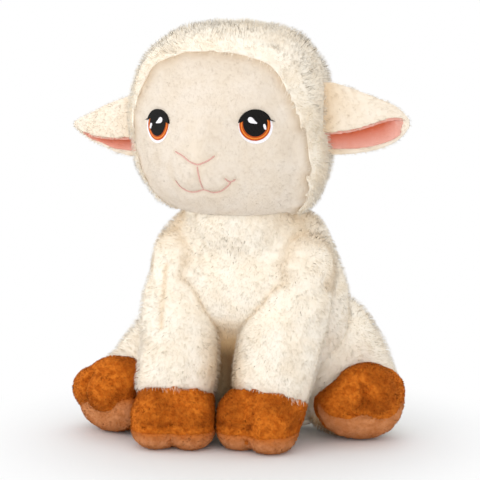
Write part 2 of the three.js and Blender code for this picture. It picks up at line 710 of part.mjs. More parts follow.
buildTorso();
buildNeck();
const headGroup = new THREE.Group();
headGroup.position.copy(neckPoint);
sheep.add(headGroup);
buildHead(headGroup);
for (const side of [1, -1]) {
  buildEar(headGroup, side);
  buildFrontLeg(side);
  buildHindLeg(side);
}
buildTail();

headGroup.rotation.z = THREE.MathUtils.degToRad(headTurn);

// The frame stands on the floor under the middle of the toy.
const span = new THREE.Box3().setFromObject(sheep, true);
sheep.position.set(-(span.min.x + span.max.x) / 2, -(span.min.y + span.max.y) / 2, 0);
const toy = new THREE.Group();
toy.add(sheep);

export default toy;
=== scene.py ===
# Plush sheep: the dressed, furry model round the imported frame
import bpy
import json
import math
import numpy as np
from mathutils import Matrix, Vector
from mathutils.bvhtree import BVHTree
from mathutils.kdtree import KDTree

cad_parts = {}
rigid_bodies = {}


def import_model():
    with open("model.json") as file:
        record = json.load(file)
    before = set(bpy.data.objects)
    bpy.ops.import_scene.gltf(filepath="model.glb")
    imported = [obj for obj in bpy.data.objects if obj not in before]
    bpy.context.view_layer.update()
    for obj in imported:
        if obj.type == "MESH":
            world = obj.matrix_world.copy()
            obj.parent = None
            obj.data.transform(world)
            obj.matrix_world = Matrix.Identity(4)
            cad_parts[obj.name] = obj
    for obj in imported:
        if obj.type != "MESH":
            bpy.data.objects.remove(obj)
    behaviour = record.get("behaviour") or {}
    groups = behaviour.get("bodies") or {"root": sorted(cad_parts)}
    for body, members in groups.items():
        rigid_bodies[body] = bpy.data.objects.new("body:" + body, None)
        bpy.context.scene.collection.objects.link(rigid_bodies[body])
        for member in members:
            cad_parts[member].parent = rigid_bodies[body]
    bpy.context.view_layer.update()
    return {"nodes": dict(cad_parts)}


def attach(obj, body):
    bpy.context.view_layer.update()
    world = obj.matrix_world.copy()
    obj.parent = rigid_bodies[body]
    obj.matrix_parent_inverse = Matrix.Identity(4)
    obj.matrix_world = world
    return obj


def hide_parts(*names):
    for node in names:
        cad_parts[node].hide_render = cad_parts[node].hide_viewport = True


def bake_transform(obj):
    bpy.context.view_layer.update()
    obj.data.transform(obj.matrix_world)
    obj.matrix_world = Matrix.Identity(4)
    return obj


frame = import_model()
mm = 0.001
scene = bpy.context.scene

# The photograph's angle, in degrees and metres, with its shift in pixels of a frame 480 wide
cameraView = {"azimuth": 15, "elevation": 10, "distance": 1.5, "aim": (-0.00057, -0.00554, 0.120),
              "metresAcross": 0.27888, "pixelShift": 3.3, "pixels": 480}


def makeCamera(view):
    turn = math.radians(view["azimuth"])
    rise = math.radians(view["elevation"])
    back = Vector((math.sin(turn) * math.cos(rise), -math.cos(turn) * math.cos(rise), math.sin(rise)))
    data = bpy.data.cameras.new("camera")
    data.sensor_width = 36
    data.lens = data.sensor_width * view["distance"] / view["metresAcross"]
    data.shift_x = view["pixelShift"] / view["pixels"]
    camera = bpy.data.objects.new("camera", data)
    camera.location = Vector(view["aim"]) + back * view["distance"]
    camera.rotation_euler = back.to_track_quat("Z", "Y").to_euler()
    scene.collection.objects.link(camera)
    scene.camera = camera


makeCamera(cameraView)
print("camera set")


# Colours are written as sRGB hex values and made linear here
def linear(hexText):
    parts = [int(hexText[i:i + 2], 16) / 255 for i in (1, 3, 5)]
    return tuple(c / 12.92 if c <= 0.04045 else ((c + 0.055) / 1.055) ** 2.4 for c in parts) + (1,)


def addNode(tree, kind, settings=None, values=None, links=None):
    made = tree.nodes.new("ShaderNode" + kind)
    for key, value in (settings or {}).items():
        setattr(made, key, value)
    for key, value in (values or {}).items():
        made.inputs[key].default_value = value
    for key, source in (links or {}).items():
        tree.links.new(source, made.inputs[key])
    return made


def newMaterial(name):
    material = bpy.data.materials.new(name)
    material.use_nodes = True
    material.node_tree.nodes.clear()
    return material, material.node_tree


# A colour Mix has its factor and its two colours at sockets 0, 6 and 7, and gives its colour at output 2
def pileMaterial(name, cloth):
    material, tree = newMaterial(name)
    place = addNode(tree, "TexCoord").outputs["Object"]
    patches = addNode(tree, "TexNoise", values={"Scale": 1000 / cloth["patch"], "Detail": 3.0,
                                                "Roughness": 0.55}, links={"Vector": place})
    soft = addNode(tree, "MapRange", values={"From Min": 0.36, "From Max": 0.64},
                   links={"Value": patches.outputs["Fac"]})
    tone = addNode(tree, "Mix", {"data_type": "RGBA"}, {6: linear(cloth["shade"]), 7: linear(cloth["light"])},
                   {0: soft.outputs[0]})
    pile = addNode(tree, "Attribute", {"attribute_name": "pile"})  # 0 at a root, 1 at a tip
    rise = addNode(tree, "MapRange", values={"From Min": 0.0, "From Max": 0.55},
                   links={"Value": pile.outputs["Fac"]})
    # Low in the pile the colour turns to the root tone, a painted shade of the pile's depth
    root = addNode(tree, "Mix", {"data_type": "RGBA"}, {6: linear(cloth["root"])},
                   {0: rise.outputs[0], 7: tone.outputs[2]})
    hollow = addNode(tree, "Attribute", {"attribute_name": "hollow"})  # painted shade: 0 in the open, 1 in a seam, 2 in a pit; on the soles a tint toward the hooves' colour
    deep = addNode(tree, "Mix", {"data_type": "RGBA"}, {7: linear(cloth["deep"])},
                   {0: hollow.outputs["Fac"], 6: root.outputs[2]})
    further = addNode(tree, "MapRange", values={"From Min": 1.0, "From Max": 2.0},
                      links={"Value": hollow.outputs["Fac"]})
    pitShade = addNode(tree, "Mix", {"data_type": "RGBA"}, {7: linear(cloth["pitShade"])},
                  {0: further.outputs[0], 6: deep.outputs[2]})
    grain = addNode(tree, "TexNoise", values={"Scale": 1000 / cloth["grain"], "Detail": 3.0,
                                              "Distortion": 0.4}, links={"Vector": place})
    bump = addNode(tree, "Bump", values={"Strength": cloth["bump"], "Distance": 0.0006},
                   links={"Height": grain.outputs["Fac"]})
    shader = addNode(tree, "BsdfPrincipled", values={
        "Roughness": cloth["roughness"], "Specular IOR Level": 0.1, "Sheen Weight": cloth["sheen"],
        "Sheen Tint": linear(cloth["light"])}, links={"Base Color": pitShade.outputs[2], "Normal": bump.outputs[0]})
    addNode(tree, "OutputMaterial", links={"Surface": shader.outputs[0]})
    return material


# Two tones of the pile's tips in random patches, then the painted shade of its roots, of its seams, folds and nap,
# and of its deep pits (on the soles the deep tone is a tint toward the hooves' colour); patch and grain are in mm
cloths = {
    # long cream wool plush: bright and soft, with a warmer painted shade where it is deep
    "woolPlush": {"light": "#fef6e8", "shade": "#faeedb", "root": "#f6e5c9", "deep": "#e4c496", "pitShade": "#84501f",
                  "patch": 14, "grain": 1.6, "bump": 0.35, "roughness": 0.95, "sheen": 0.03},
    # clipped plush of the face and seat: smoother and a shade darker than the wool
    "shortPlush": {"light": "#e6dacb", "shade": "#e2d4c2", "root": "#d9c7b0", "deep": "#c9ae8c", "pitShade": "#a98560",
                   "patch": 12, "grain": 1.2, "bump": 0.22, "roughness": 0.95, "sheen": 0.03},
    # plush of the ears, a little longer than the face's
    "earPlush": {"light": "#f5e9d8", "shade": "#f1e2cd", "root": "#ecd9c0", "deep": "#dfbf93", "pitShade": "#b58a56",
                 "patch": 12, "grain": 1.2, "bump": 0.22, "roughness": 0.95, "sheen": 0.03},
    # rust velour of the hooves, with nap patches that catch the light
    "hoofVelour": {"light": "#d97b26", "shade": "#b95c12", "root": "#a9550f", "deep": "#8f430a", "pitShade": "#6d3206",
                   "patch": 3.0, "grain": 0.9, "bump": 0.8, "roughness": 0.9, "sheen": 0.3},
    # brushed tan velour of the soles: paler, with a soft bloom at a low angle
    "soleVelour": {"light": "#d28f5e", "shade": "#c47c49", "root": "#b87042", "deep": "#bb641f", "pitShade": "#8f430a",
                   "patch": 5, "grain": 0.7, "bump": 0.5, "roughness": 0.9, "sheen": 0.3},
    # salmon pink lining of short plush, with a deep orange painted shade inside the fold
    "liningPlush": {"light": "#eeb5a8", "shade": "#eaab9b", "root": "#e39a86", "deep": "#dd6a40", "pitShade": "#c9552e",
                    "patch": 8, "grain": 0.6, "bump": 0.3, "roughness": 0.95, "sheen": 0.03},
}
materials = {name: pileMaterial(name, cloth) for name, cloth in cloths.items()}

# Rayon embroidery thread in close rows: colour, and a sheen that gives the eyes and mouth a faint silky line
threads = {"white": ("#f1eef2", 0.2), "amber": ("#b84d12", 0.1), "glow": ("#e5822f", 0.1),
           "black": ("#0d0a09", 0.0), "pink": ("#d8a79d", 0.2)}
threadRows = {"apart": 0.8, "bump": 0.6, "depth": 0.0003, "roughness": 0.6}


def threadMaterial(name, colour, sheen):
    material, tree = newMaterial(name)
    place = addNode(tree, "TexCoord").outputs["Object"]
    rows = addNode(tree, "TexWave", {"bands_direction": "DIAGONAL"},
                   {"Scale": 1000 / threadRows["apart"] / 6.28, "Distortion": 1.5, "Detail": 1.0},
                   {"Vector": place})
    bump = addNode(tree, "Bump", values={"Strength": threadRows["bump"], "Distance": threadRows["depth"]},
                   links={"Height": rows.outputs["Fac"]})
    shader = addNode(tree, "BsdfPrincipled", values={
        "Base Color": linear(colour), "Roughness": threadRows["roughness"], "Specular IOR Level": 0.15,
        "Sheen Weight": sheen}, links={"Normal": bump.outputs[0]})
    addNode(tree, "OutputMaterial", links={"Surface": shader.outputs[0]})
    return material


for name, (colour, sheen) in threads.items():
    materials[name] = threadMaterial(name + "Thread", colour, sheen)
print("materials made")


# Operators act on what is selected, so a piece is picked first
def pick(obj):
    bpy.ops.object.select_all(action="DESELECT")
    obj.select_set(True)
    bpy.context.view_layer.objects.active = obj


def applied(obj, kind, **settings):
    pick(obj)
    modifier = obj.modifiers.new(kind.lower(), kind)
    for key, value in settings.items():
        setattr(modifier, key, value)
    bpy.ops.object.modifier_apply(modifier=modifier.name)


def inEdit(obj, operator, **settings):
    pick(obj)
    bpy.ops.object.mode_set(mode="EDIT")
    bpy.ops.mesh.select_all(action="SELECT")
    operator(**settings)
    bpy.ops.object.mode_set(mode="OBJECT")


def pointsOf(obj):
    found = np.empty(len(obj.data.vertices) * 3)
    obj.data.vertices.foreach_get("co", found)
    return found.reshape(-1, 3)


def setPoints(obj, places):
    obj.data.vertices.foreach_set("co", places.ravel())
    obj.data.update()


def copiesOf(name, nodes):
    copies = []
    for node in nodes:
        copy = bpy.data.objects.new(name, frame["nodes"][node].data.copy())
        scene.collection.objects.link(copy)
        copies.append(copy)
    pick(copies[0])
    for copy in copies:
        copy.select_set(True)
    bpy.ops.object.join()
    made = bpy.context.view_layer.objects.active
    made.name = name
    made.data.materials.clear()
    inEdit(made, bpy.ops.mesh.remove_doubles, threshold=1e-6)
    return made


def joined(obj, extra):
    pick(obj)
    extra.select_set(True)
    bpy.ops.object.join()
    return obj


def largestPart(obj):
    inEdit(obj, bpy.ops.mesh.separate, type="LOOSE")
    parts = [o for o in bpy.context.selected_objects if o.type == "MESH"]
    keep = max(parts, key=lambda o: max(o.dimensions) * len(o.data.vertices))
    for part in parts:
        if part is not keep:
            bpy.data.objects.remove(part)
    return keep


def cutAbove(obj, height):
    inEdit(obj, bpy.ops.mesh.bisect, plane_co=(0, 0, height), plane_no=(0, 0, 1), use_fill=True,
           clear_outer=True)


def relaxed(obj, rounds):
    applied(obj, "SMOOTH", factor=0.5, iterations=rounds)


# Cloth simulation with air inside; no point ends further than cap from where it was
def swollen(obj, pressure, cap, frames=20):
    rest = pointsOf(obj)
    pick(obj)
    cloth = obj.modifiers.new("cloth", "CLOTH")
    cloth.settings.use_pressure = True
    cloth.settings.uniform_pressure_force = pressure
    cloth.settings.effector_weights.gravity = 0
    cloth.settings.tension_stiffness = 15
    cloth.settings.compression_stiffness = 15
    cloth.collision_settings.use_collision = False
    cloth.collision_settings.use_self_collision = False
    cloth.point_cache.frame_end = frames
    for step in range(1, frames + 1):
        scene.frame_set(step)
    bpy.ops.object.modifier_apply(modifier=cloth.name)
    push = pointsOf(obj) - rest
    length = np.linalg.norm(push, axis=1, keepdims=True)
    setPoints(obj, rest + push * np.minimum(1, cap / np.maximum(length, 1e-9)))
    scene.frame_set(1)


def lumpy(obj, size, depth):
    texture = bpy.data.textures.new(obj.name + "Lumps", "CLOUDS")
    texture.noise_scale = size
    texture.noise_depth = 1
    applied(obj, "DISPLACE", texture=texture, strength=depth, mid_level=0.5, texture_coords="LOCAL")


def ball(place, radii, turn=(0, 0, 0)):
    bpy.ops.object.select_all(action="DESELECT")
    bpy.ops.mesh.primitive_uv_sphere_add(segments=32, ring_count=16, radius=1, location=place, rotation=turn)
    made = bpy.context.view_layer.objects.active
    made.scale = radii
    bpy.ops.object.transform_apply(location=True, rotation=True, scale=True)
    return made


def ballsOf(fills):
    return [ball(*fill) for fill in fills]


def shaded(obj):
    pick(obj)
    bpy.ops.object.shade_smooth()
    print("form", obj.name, len(obj.data.polygons))
    return obj


# The remesh's voxel, rounds of smoothing and levels of subdivision; some pieces swell under pressure, by no
# more than cap, and some are lumpy, with the size and the depth of their lumps
formOf = {"body": {"voxel": 0.004, "smooth": 12, "levels": 1, "pressure": 4, "cap": 0.002, "lump": (0.014, 0.0012)},
          "seat": {"voxel": 0.002, "smooth": 2, "levels": 0},
          "neck": {"voxel": 0.003, "smooth": 4, "levels": 0, "shrunk": 0.004},
          "hood": {"voxel": 0.0026, "smooth": 5, "levels": 1, "lump": (0.012, 0.0016)},
          "face": {"voxel": 0.003, "smooth": 5, "levels": 1},
          "tail": {"voxel": 0.003, "smooth": 3, "levels": 1},
          "leg": {"voxel": 0.0035, "smooth": 6, "levels": 1, "pressure": 4, "cap": 0.0015, "lump": (0.011, 0.0014)},
          "hoof": {"voxel": 0.0024, "smooth": 5, "levels": 1, "lump": (0.008, 0.0009)},
          "sole": {"voxel": 0.0022, "smooth": 2, "levels": 1, "proud": 0.0006}}


def dressedForm(name, nodes, form, extras=(), top=None):
    made = copiesOf(name, nodes)
    if top:
        cutAbove(made, top)
    for extra in extras:
        made = joined(made, extra)
    applied(made, "REMESH", mode="VOXEL", voxel_size=form["voxel"], use_smooth_shade=True)
    made = largestPart(made)
    made.name = name
    relaxed(made, form["smooth"])
    if "pressure" in form:
        swollen(made, form["pressure"], form["cap"])
    if form["levels"]:
        applied(made, "SUBSURF", levels=form["levels"], render_levels=form["levels"])
    if "lump" in form:
        lumpy(made, *form["lump"])
    return shaded(made)


# Smooth waves that wander over a surface, about -1 to 1 along each axis
def waves(places, size, seed, count=9):
    draw = np.random.default_rng(seed)
    total = np.zeros((len(places), 3))
    for i in range(count):
        way = draw.normal(size=3)
        way /= np.linalg.norm(way)
        turn = 2 * np.pi / (size * draw.uniform(0.6, 1.6))
        phase = draw.uniform(0, 2 * np.pi, 3)
        total += np.sin((places @ way)[:, None] * turn + phase)
    return total / math.sqrt(count / 2) / 1.6


def unit(vectors):
    return vectors / np.maximum(np.linalg.norm(vectors, axis=1, keepdims=True), 1e-12)


def trianglesOf(obj):
    mesh = obj.data
    mesh.calc_loop_triangles()
    found = np.empty(len(mesh.loop_triangles) * 3, np.int32)
    mesh.loop_triangles.foreach_get("vertices", found)
    return found.reshape(-1, 3)


def vertexNormals(obj):
    found = np.empty(len(obj.data.vertices) * 3, np.float32)
    obj.data.vertices.foreach_get("normal", found)
    return found.reshape(-1, 3).astype(float)


def treeOf(obj):
    places = pointsOf(obj)
    return BVHTree.FromPolygons([Vector(p) for p in places], trianglesOf(obj).tolist())


# True for points that lie inside a closed form, deeper than depth
def insideOf(tree, places, ways, depth):
    hidden = np.zeros(len(places), bool)
    for i, (place, way) in enumerate(zip(places, ways)):
        at, normal, index, distance = tree.ray_cast(place, way)
        if at is not None and normal.dot(Vector(way)) > 0:
            hidden[i] = tree.find_nearest(place)[3] > depth
    return hidden


def nearTo(tree, places, reach):
    return np.array([tree.find_nearest(place, reach)[0] is not None for place in places], bool)


def finderOf(spots):
    finder = KDTree(len(spots))
    for i, spot in enumerate(spots):
        finder.insert(spot, i)
    finder.balance()
    return finder


# Each strand of pile is a thin three-sided blade with a bend halfway. Lengths, widths and leans are shares of its
# pile's own; rooted, covered and floor are in metres
# skinTone and tones are pile values: below 0.55 a point takes the painted root shade
strandShape = {"rolling": 0.18, "rollingSize": 0.7, "lengths": (0.72, 1.12), "lowLean": 0.6, "lowLength": 0.5,
               "highRise": 0.7, "highLean": 1.3, "highLength": 0.55, "pulls": (0.5, 1.2), "midPull": 0.45,
               "stray": 0.15, "widths": (0.7, 1.2), "rooted": 0.0003, "midWidth": 0.85, "covered": 0.0012,
               "floor": 0.0001, "skinTone": 0.55, "tones": [0.3, 0.3, 0.3, 0.55, 0.55, 0.55, 1.0],
               "quads": [(1, 0, 3, 4), (2, 1, 4, 5), (0, 2, 5, 3)], "tips": [(4, 3, 6), (5, 4, 6), (3, 5, 6)]}


def scattered(draw, places, faces, normals, density, denser):
    corners = places[faces]
    areas = np.linalg.norm(np.cross(corners[:, 1] - corners[:, 0], corners[:, 2] - corners[:, 0]), axis=1) / 2
    if denser is not None:
        areas = areas * denser(corners.mean(1))
    count = int(areas.sum() * 1e6 * density * (1))
    chosen = draw.choice(len(faces), count, p=areas / areas.sum())
    share = np.sqrt(draw.uniform(size=(count, 1)))
    other = draw.uniform(size=(count, 1))
    weights = np.hstack([1 - share, share * (1 - other), share * other])
    roots = (corners[chosen] * weights[:, :, None]).sum(1)
    return roots, unit((normals[faces[chosen]] * weights[:, :, None]).sum(1))


def alongSurface(ways, outward):
    return ways - (ways * outward).sum(1, keepdims=True) * outward


def clumped(draw, pile, roots, mids, tips):
    count = len(roots)
    centres = draw.choice(count, max(1, int(count / pile["clump"])), replace=False)
    finder = finderOf(roots[centres])
    nearest = np.array([finder.find(root)[1] for root in roots])
    pull = (pile["pull"] * draw.uniform(*strandShape["pulls"], count))[:, None]
    return (mids + (mids[centres][nearest] - mids) * pull * strandShape["midPull"],
            tips + (tips[centres][nearest] - tips) * pull)


def bladesOf(draw, pile, roots, outward, first, mids, tips):
    across = unit(np.cross(first, outward) + strandShape["stray"] * draw.normal(size=(len(roots), 3)))
    below = -unit(np.cross(across, first) * np.sign((np.cross(across, first) * outward).sum(1, keepdims=True)))
    half = (pile["width"] / 2 * draw.uniform(*strandShape["widths"], len(roots)))[:, None]
    rings = []
    for base, size in ((roots - outward * strandShape["rooted"], 1.0), (mids, strandShape["midWidth"])):
        rings += [base + across * half * size, base - across * half * size, base + below * half * size]
    ways = [unit(outward + across), unit(outward - across), below]
    return np.stack(rings + [tips], 1).reshape(-1, 3), np.stack(ways * 2 + [outward], 1).reshape(-1, 3)


def addValues(mesh, name, values):
    attribute = mesh.attributes.new(name, "FLOAT", "POINT")
    attribute.data.foreach_set("value", values.astype(np.float32))


def writeMesh(mesh, places, groups):
    sizes = np.concatenate([np.full(len(g), g.shape[1], np.int32) for g in groups])
    corners = np.concatenate([g.ravel() for g in groups]).astype(np.int32)
    starts = np.concatenate([[0], np.cumsum(sizes)[:-1]]).astype(np.int32)
    mesh.vertices.add(len(places))
    mesh.vertices.foreach_set("co", places.astype(np.float32).ravel())
    mesh.loops.add(len(corners))
    mesh.loops.foreach_set("vertex_index", corners)
    mesh.polygons.add(len(sizes))
    mesh.polygons.foreach_set("loop_start", starts)
    mesh.update(calc_edges=True)
    mesh.polygons.foreach_set("use_smooth", np.ones(len(sizes), bool))
    mesh.update()


# The piece keeps its skin, and strands stand on it, except where hide covers it, near keepOff or where keep says no
def grown(obj, pile, lay, hide=(), hideDeep=(), keepOff=(), keep=None, lengthShare=None, hollow=None,
          denser=None):
    draw = np.random.default_rng(pile["seed"])
    places, faces, normals = pointsOf(obj), trianglesOf(obj), vertexNormals(obj)
    roots, outward = scattered(draw, places, faces, normals, pile["density"], denser)
    kept = np.ones(len(roots), bool)
    if keep is not None:
        kept &= keep(roots, outward)
    for tree, depth in [(tree, strandShape["covered"]) for tree in hide] + list(hideDeep):
        todo = np.flatnonzero(kept)
        kept[todo[insideOf(tree, roots[todo], outward[todo], depth)]] = False
    for tree, reach in keepOff:
        todo = np.flatnonzero(kept)
        kept[todo[nearTo(tree, roots[todo], reach)]] = False
    roots, outward = roots[kept], outward[kept]
    count, perStrand = len(roots), len(strandShape["tones"])

    nap = alongSurface(lay(roots, outward), outward)
    swirl = alongSurface(waves(roots, pile["swirl"], pile["seed"] + 1), outward)
    messy = draw.normal(size=(count, 3)) * pile["mess"]
    lean = nap * pile["lay"] + swirl * pile["swirlLean"] + messy
    rolling = waves(roots, pile["swirl"] * strandShape["rollingSize"], pile["seed"] + 2)[:, 0]
    length = pile["length"] * (1 + strandShape["rolling"] * rolling)
    length = length * draw.uniform(*strandShape["lengths"], count)
    if lengthShare is not None:
        length = length * lengthShare(roots, outward)
    first = unit(outward + strandShape["lowLean"] * lean)
    second = unit(outward * strandShape["highRise"] + strandShape["highLean"] * lean)
    mids = roots + first * (length * strandShape["lowLength"])[:, None]
    tips = mids + second * (length * strandShape["highLength"])[:, None]
    mids, tips = clumped(draw, pile, roots, mids, tips)
    strands, strandNormals = bladesOf(draw, pile, roots, outward, first, mids, tips)

    for points in (places, strands):
        points[:, 2] = np.maximum(points[:, 2], strandShape["floor"])
    start = (len(places) + perStrand * np.arange(count))[:, None, None]
    quads = (start + np.array(strandShape["quads"])).reshape(-1, 4)
    triangles = (start + np.array(strandShape["tips"])).reshape(-1, 3)
    mesh = bpy.data.meshes.new(obj.name)
    writeMesh(mesh, np.vstack([places, strands]), [faces, triangles, quads])
    addValues(mesh, "pile", np.concatenate([np.full(len(places), strandShape["skinTone"]),
                                            np.tile(strandShape["tones"], count)]))
    speckle = np.repeat(draw.uniform(-0.5, 0.5, count) * pile["speckle"], perStrand)
    # Each point's painted shade, which on the soles is a tint toward the hooves' colour, plus a random speckle
    deepness = np.concatenate([np.zeros(len(places)), speckle])
    if hollow is not None:
        deepness = np.concatenate([hollow(places, normals), np.repeat(hollow(roots, outward), perStrand) + speckle])
    addValues(mesh, "hollow", np.clip(deepness, 0, 2))
    mesh.normals_split_custom_set_from_vertices(np.vstack([normals, strandNormals]))
    old = obj.data
    obj.data = mesh
    bpy.data.meshes.remove(old)
    print("pile", obj.name, count, "strands")


def dress(obj, cloth, body, nodes, blend=None):
    obj.data.materials.clear()
    obj.data.materials.append(materials[cloth])
    if blend:
        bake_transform(obj)
    else:
        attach(obj, body)
    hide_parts(*nodes)


# Middles of the head and of the neck's ball, as in the solids
headPlace = np.array([-0.00057, -0.0175, 0.192])
neckPlace = np.array([-0.00057, -0.00954, 0.145])


def moved(obj, change):
    places = pointsOf(obj)
    normals = vertexNormals(obj)
    setPoints(obj, change(places, normals))


def hill(distance, reach):
    return np.exp(-(distance / reach) ** 2)


def alongCurve(points, step):
    points = np.array(points, float) * mm
    fine = []
    for i in range(len(points) - 1):
        p0, p1 = points[max(i - 1, 0)], points[i]
        p2, p3 = points[i + 1], points[min(i + 2, len(points) - 1)]
        for t in np.linspace(0, 1, 12, endpoint=False):
            fine.append(0.5 * (2 * p1 + (p2 - p0) * t + (2 * p0 - 5 * p1 + 4 * p2 - p3) * t * t
                               + (3 * p1 - p0 - 3 * p2 + p3) * t ** 3))
    fine = np.array(fine + [points[-1]])
    length = np.concatenate([[0], np.cumsum(np.linalg.norm(np.diff(fine, axis=0), axis=1))])
    wanted = np.linspace(0, length[-1], max(4, int(length[-1] / step)))
    return np.stack([np.interp(wanted, length, fine[:, 0]), np.interp(wanted, length, fine[:, 1])], 1), wanted


# How far the stuffed toy has settled sideways and down from its pattern, in mm: a row starts with its height in
# metres, and its columns go across
settle = {
    "across": [-0.09, -0.05, -0.025, 0, 0.025, 0.05, 0.08],
    "body": [(0.000, -5.5, -0.5, 0, 0, 0, 0.5, 5.5), (0.020, -4, -0.5, 0, 0, 0, 0.5, 4.3),
             (0.035, -3, -0.5, 0, 0, 0, 1, 4.6), (0.045, 1.5, 1, 0, 0, 0, 2, 5), (0.060, 4, 3, 1, 0.5, 0.5, 4, 6),
             (0.070, 5, 3, 2, 1, 1, 5, 6.5), (0.080, 3, 3, 2.5, 2, 2.5, 6, 6.5), (0.090, 2.5, 2.5, 2.5, 3, 5, 8, 8.5),
             (0.100, 3.5, 3.5, 3.5, 4, 5.5, 7, 7), (0.110, 5.5, 5.5, 5.2, 5.2, 5.2, 5.5, 5.5),
             (0.135, 5.2, 5.2, 5.2, 5.2, 5.2, 5.2, 5.2), (0.150, 2, 2, 2, 2, 2, 2, 2), (0.165, 0, 0, 0, 0, 0, 0, 0)],
    "head": [(0.145, 4.5, 4.5, 4.5, 4.5, 4.5, 4.5, 4.5), (0.156, 3.5, 3.5, 3.5, 3.5, 3.5, 3.5, 3.5),
             (0.163, 2.8, 2.8, 2.8, 2.8, 2.8, 2.8, 2.8), (0.172, 2, 2, 2, 2, 2, 2, 2), (0.190, 0, 0, 0, 0, 0, 0, 0),
             (0.215, 0, 0, 0, 0, 0.8, 1.8, 2), (0.228, -1, -0.7, -0.3, 0, 1.2, 2.4, 3),
             (0.236, 0, 0, 0, 0.5, 2.5, 3.8, 4.5), (0.245, 1, 1, 1, 1.5, 4, 5.5, 6)],
    "headDrop": [(0.145, 4.8), (0.156, 3.2), (0.165, 1.6), (0.178, 0)]}


def settled(places, kind):
    rows = np.array(settle[kind], float)
    columns = np.array(settle["across"])
    atColumn = np.stack([np.interp(places[:, 2], rows[:, 0], rows[:, k + 1]) for k in range(len(columns))], 1)
    column = np.clip(np.searchsorted(columns, places[:, 0]) - 1, 0, len(columns) - 2)
    share = np.clip((places[:, 0] - columns[column]) / (columns[column + 1] - columns[column]), 0, 1)
    points = np.arange(len(places))
    shift = (atColumn[points, column] * (1 - share) + atColumn[points, column + 1] * share) * mm
    drop = np.zeros(len(places))
    if kind == "head":
        heights, drops = np.array(settle["headDrop"]).T
        drop = np.interp(places[:, 2], heights, drops) * mm
    return places + np.stack([shift, np.zeros(len(places)), -drop], 1)


def settleOnly(kind):
    return lambda places, normals: settled(places, kind)


# Balls of stuffing that fill out the body: middle and radii, and the turn of the hind legs
legTurn = {"left": (0, 0, math.radians(27)), "right": (0, 0, math.radians(-32))}
bodyFills = {"shoulders": [((side * 0.0325 - 0.0006, -0.0105, 0.108), (0.0232, 0.0205, 0.0265)) for side in (1, -1)],
             "haunches": [((0.0395, 0.0450, 0.041), (0.0190, 0.0200, 0.031), legTurn["left"]),
                          ((-0.0430, 0.0410, 0.041), (0.0190, 0.0200, 0.031), legTurn["right"])],
             "chest": [((-0.0010, -0.0085, 0.104), (0.0450, 0.0240, 0.036))],
             "nape": [((-0.0040, 0.0060, 0.147), (0.0270, 0.0235, 0.0175))]}
body = dressedForm("body_plush", ["body_cover", "chest_panel", "body_stuffing", "pellet_bag", "neck_core"],
                   formOf["body"], extras=ballsOf(sum(bodyFills.values(), [])))
seat = dressedForm("seat_plush", ["base_panel"], formOf["seat"])
neck = dressedForm("neck_plush", ["neck_core"], formOf["neck"])
moved(neck, lambda places, normals: settled(places - normals * formOf["neck"]["shrunk"], "body"))
moved(body, settleOnly("body"))
hood = dressedForm("hood_plush", ["wool_hood"], formOf["hood"])
face = dressedForm("face_plush", ["face_panel", "wool_hood", "head_stuffing"], formOf["face"])
moved(hood, settleOnly("head"))
panel = copiesOf("panel", ["face_panel"])
moved(panel, settleOnly("head"))
panelTree = treeOf(panel)
bpy.data.objects.remove(panel)


def distances(tree, places, most=0.05):
    found = [tree.find_nearest(place, most)[3] for place in places]
    return np.array([most if distance is None else distance for distance in found])


# In metres from the middle of the head, across and up: lips, eyes and nose are place, reach and rise of a swelling,
# bridge is its half width and rise, brow is where the groove under the hood starts, its reach and its depth
faceShape = {"turn": 3.0, "lips": (0.0085, -0.0255, 0.0078, 0.0018), "eyes": (0.0285, 0.0015, 0.0125, -0.0022),
             "nose": (0.0, -0.0115, 0.0085, 0.0009), "bridge": (0.0105, 0.0035),
             "bridgeEnds": (0.014, -0.002, -0.020, -0.034), "brow": (0.022, 0.009, 0.0026), "browFade": 0.012,
             "stitch": (0.0015, 0.0009), "front": (0.01, 0.02), "edge": (0.0015, 0.003), "sunk": 0.0011}
# The seams of nose and mouth, in mm from the middle of the head
seams = {"nose_thread": [[(-15.5, -12.2), (-9.8, -13.9), (-4.6, -16.4), (0, -17.7), (2.6, -17.0), (6.0, -15.4),
                          (9.2, -12.9)]],
         "mouth_thread": [[(0, -18.6), (0.6, -25), (1.2, -32.4)],
                          [(-16.4, -28.9), (-13.6, -32.6), (-8.4, -35.0), (-3.4, -34.6), (1.2, -33.0), (6.2, -34.4),
                           (10.6, -33.6), (14.4, -31.0), (17.0, -28.2)],
                          [(14.2, -25.6), (16.6, -27.8), (19.6, -26.6)]]}
seamShift = -0.0033


def seamFinder(reach):
    finder = finderOf([(x * mm + headPlace[0] + seamShift, 0, z * mm + headPlace[2])
                       for lines in seams.values() for line in lines for x, z in alongCurve(line, 0.0008)[0] / mm])
    return lambda places: hill(np.array([finder.find((x, 0, z))[2] for x, y, z in places]), reach)


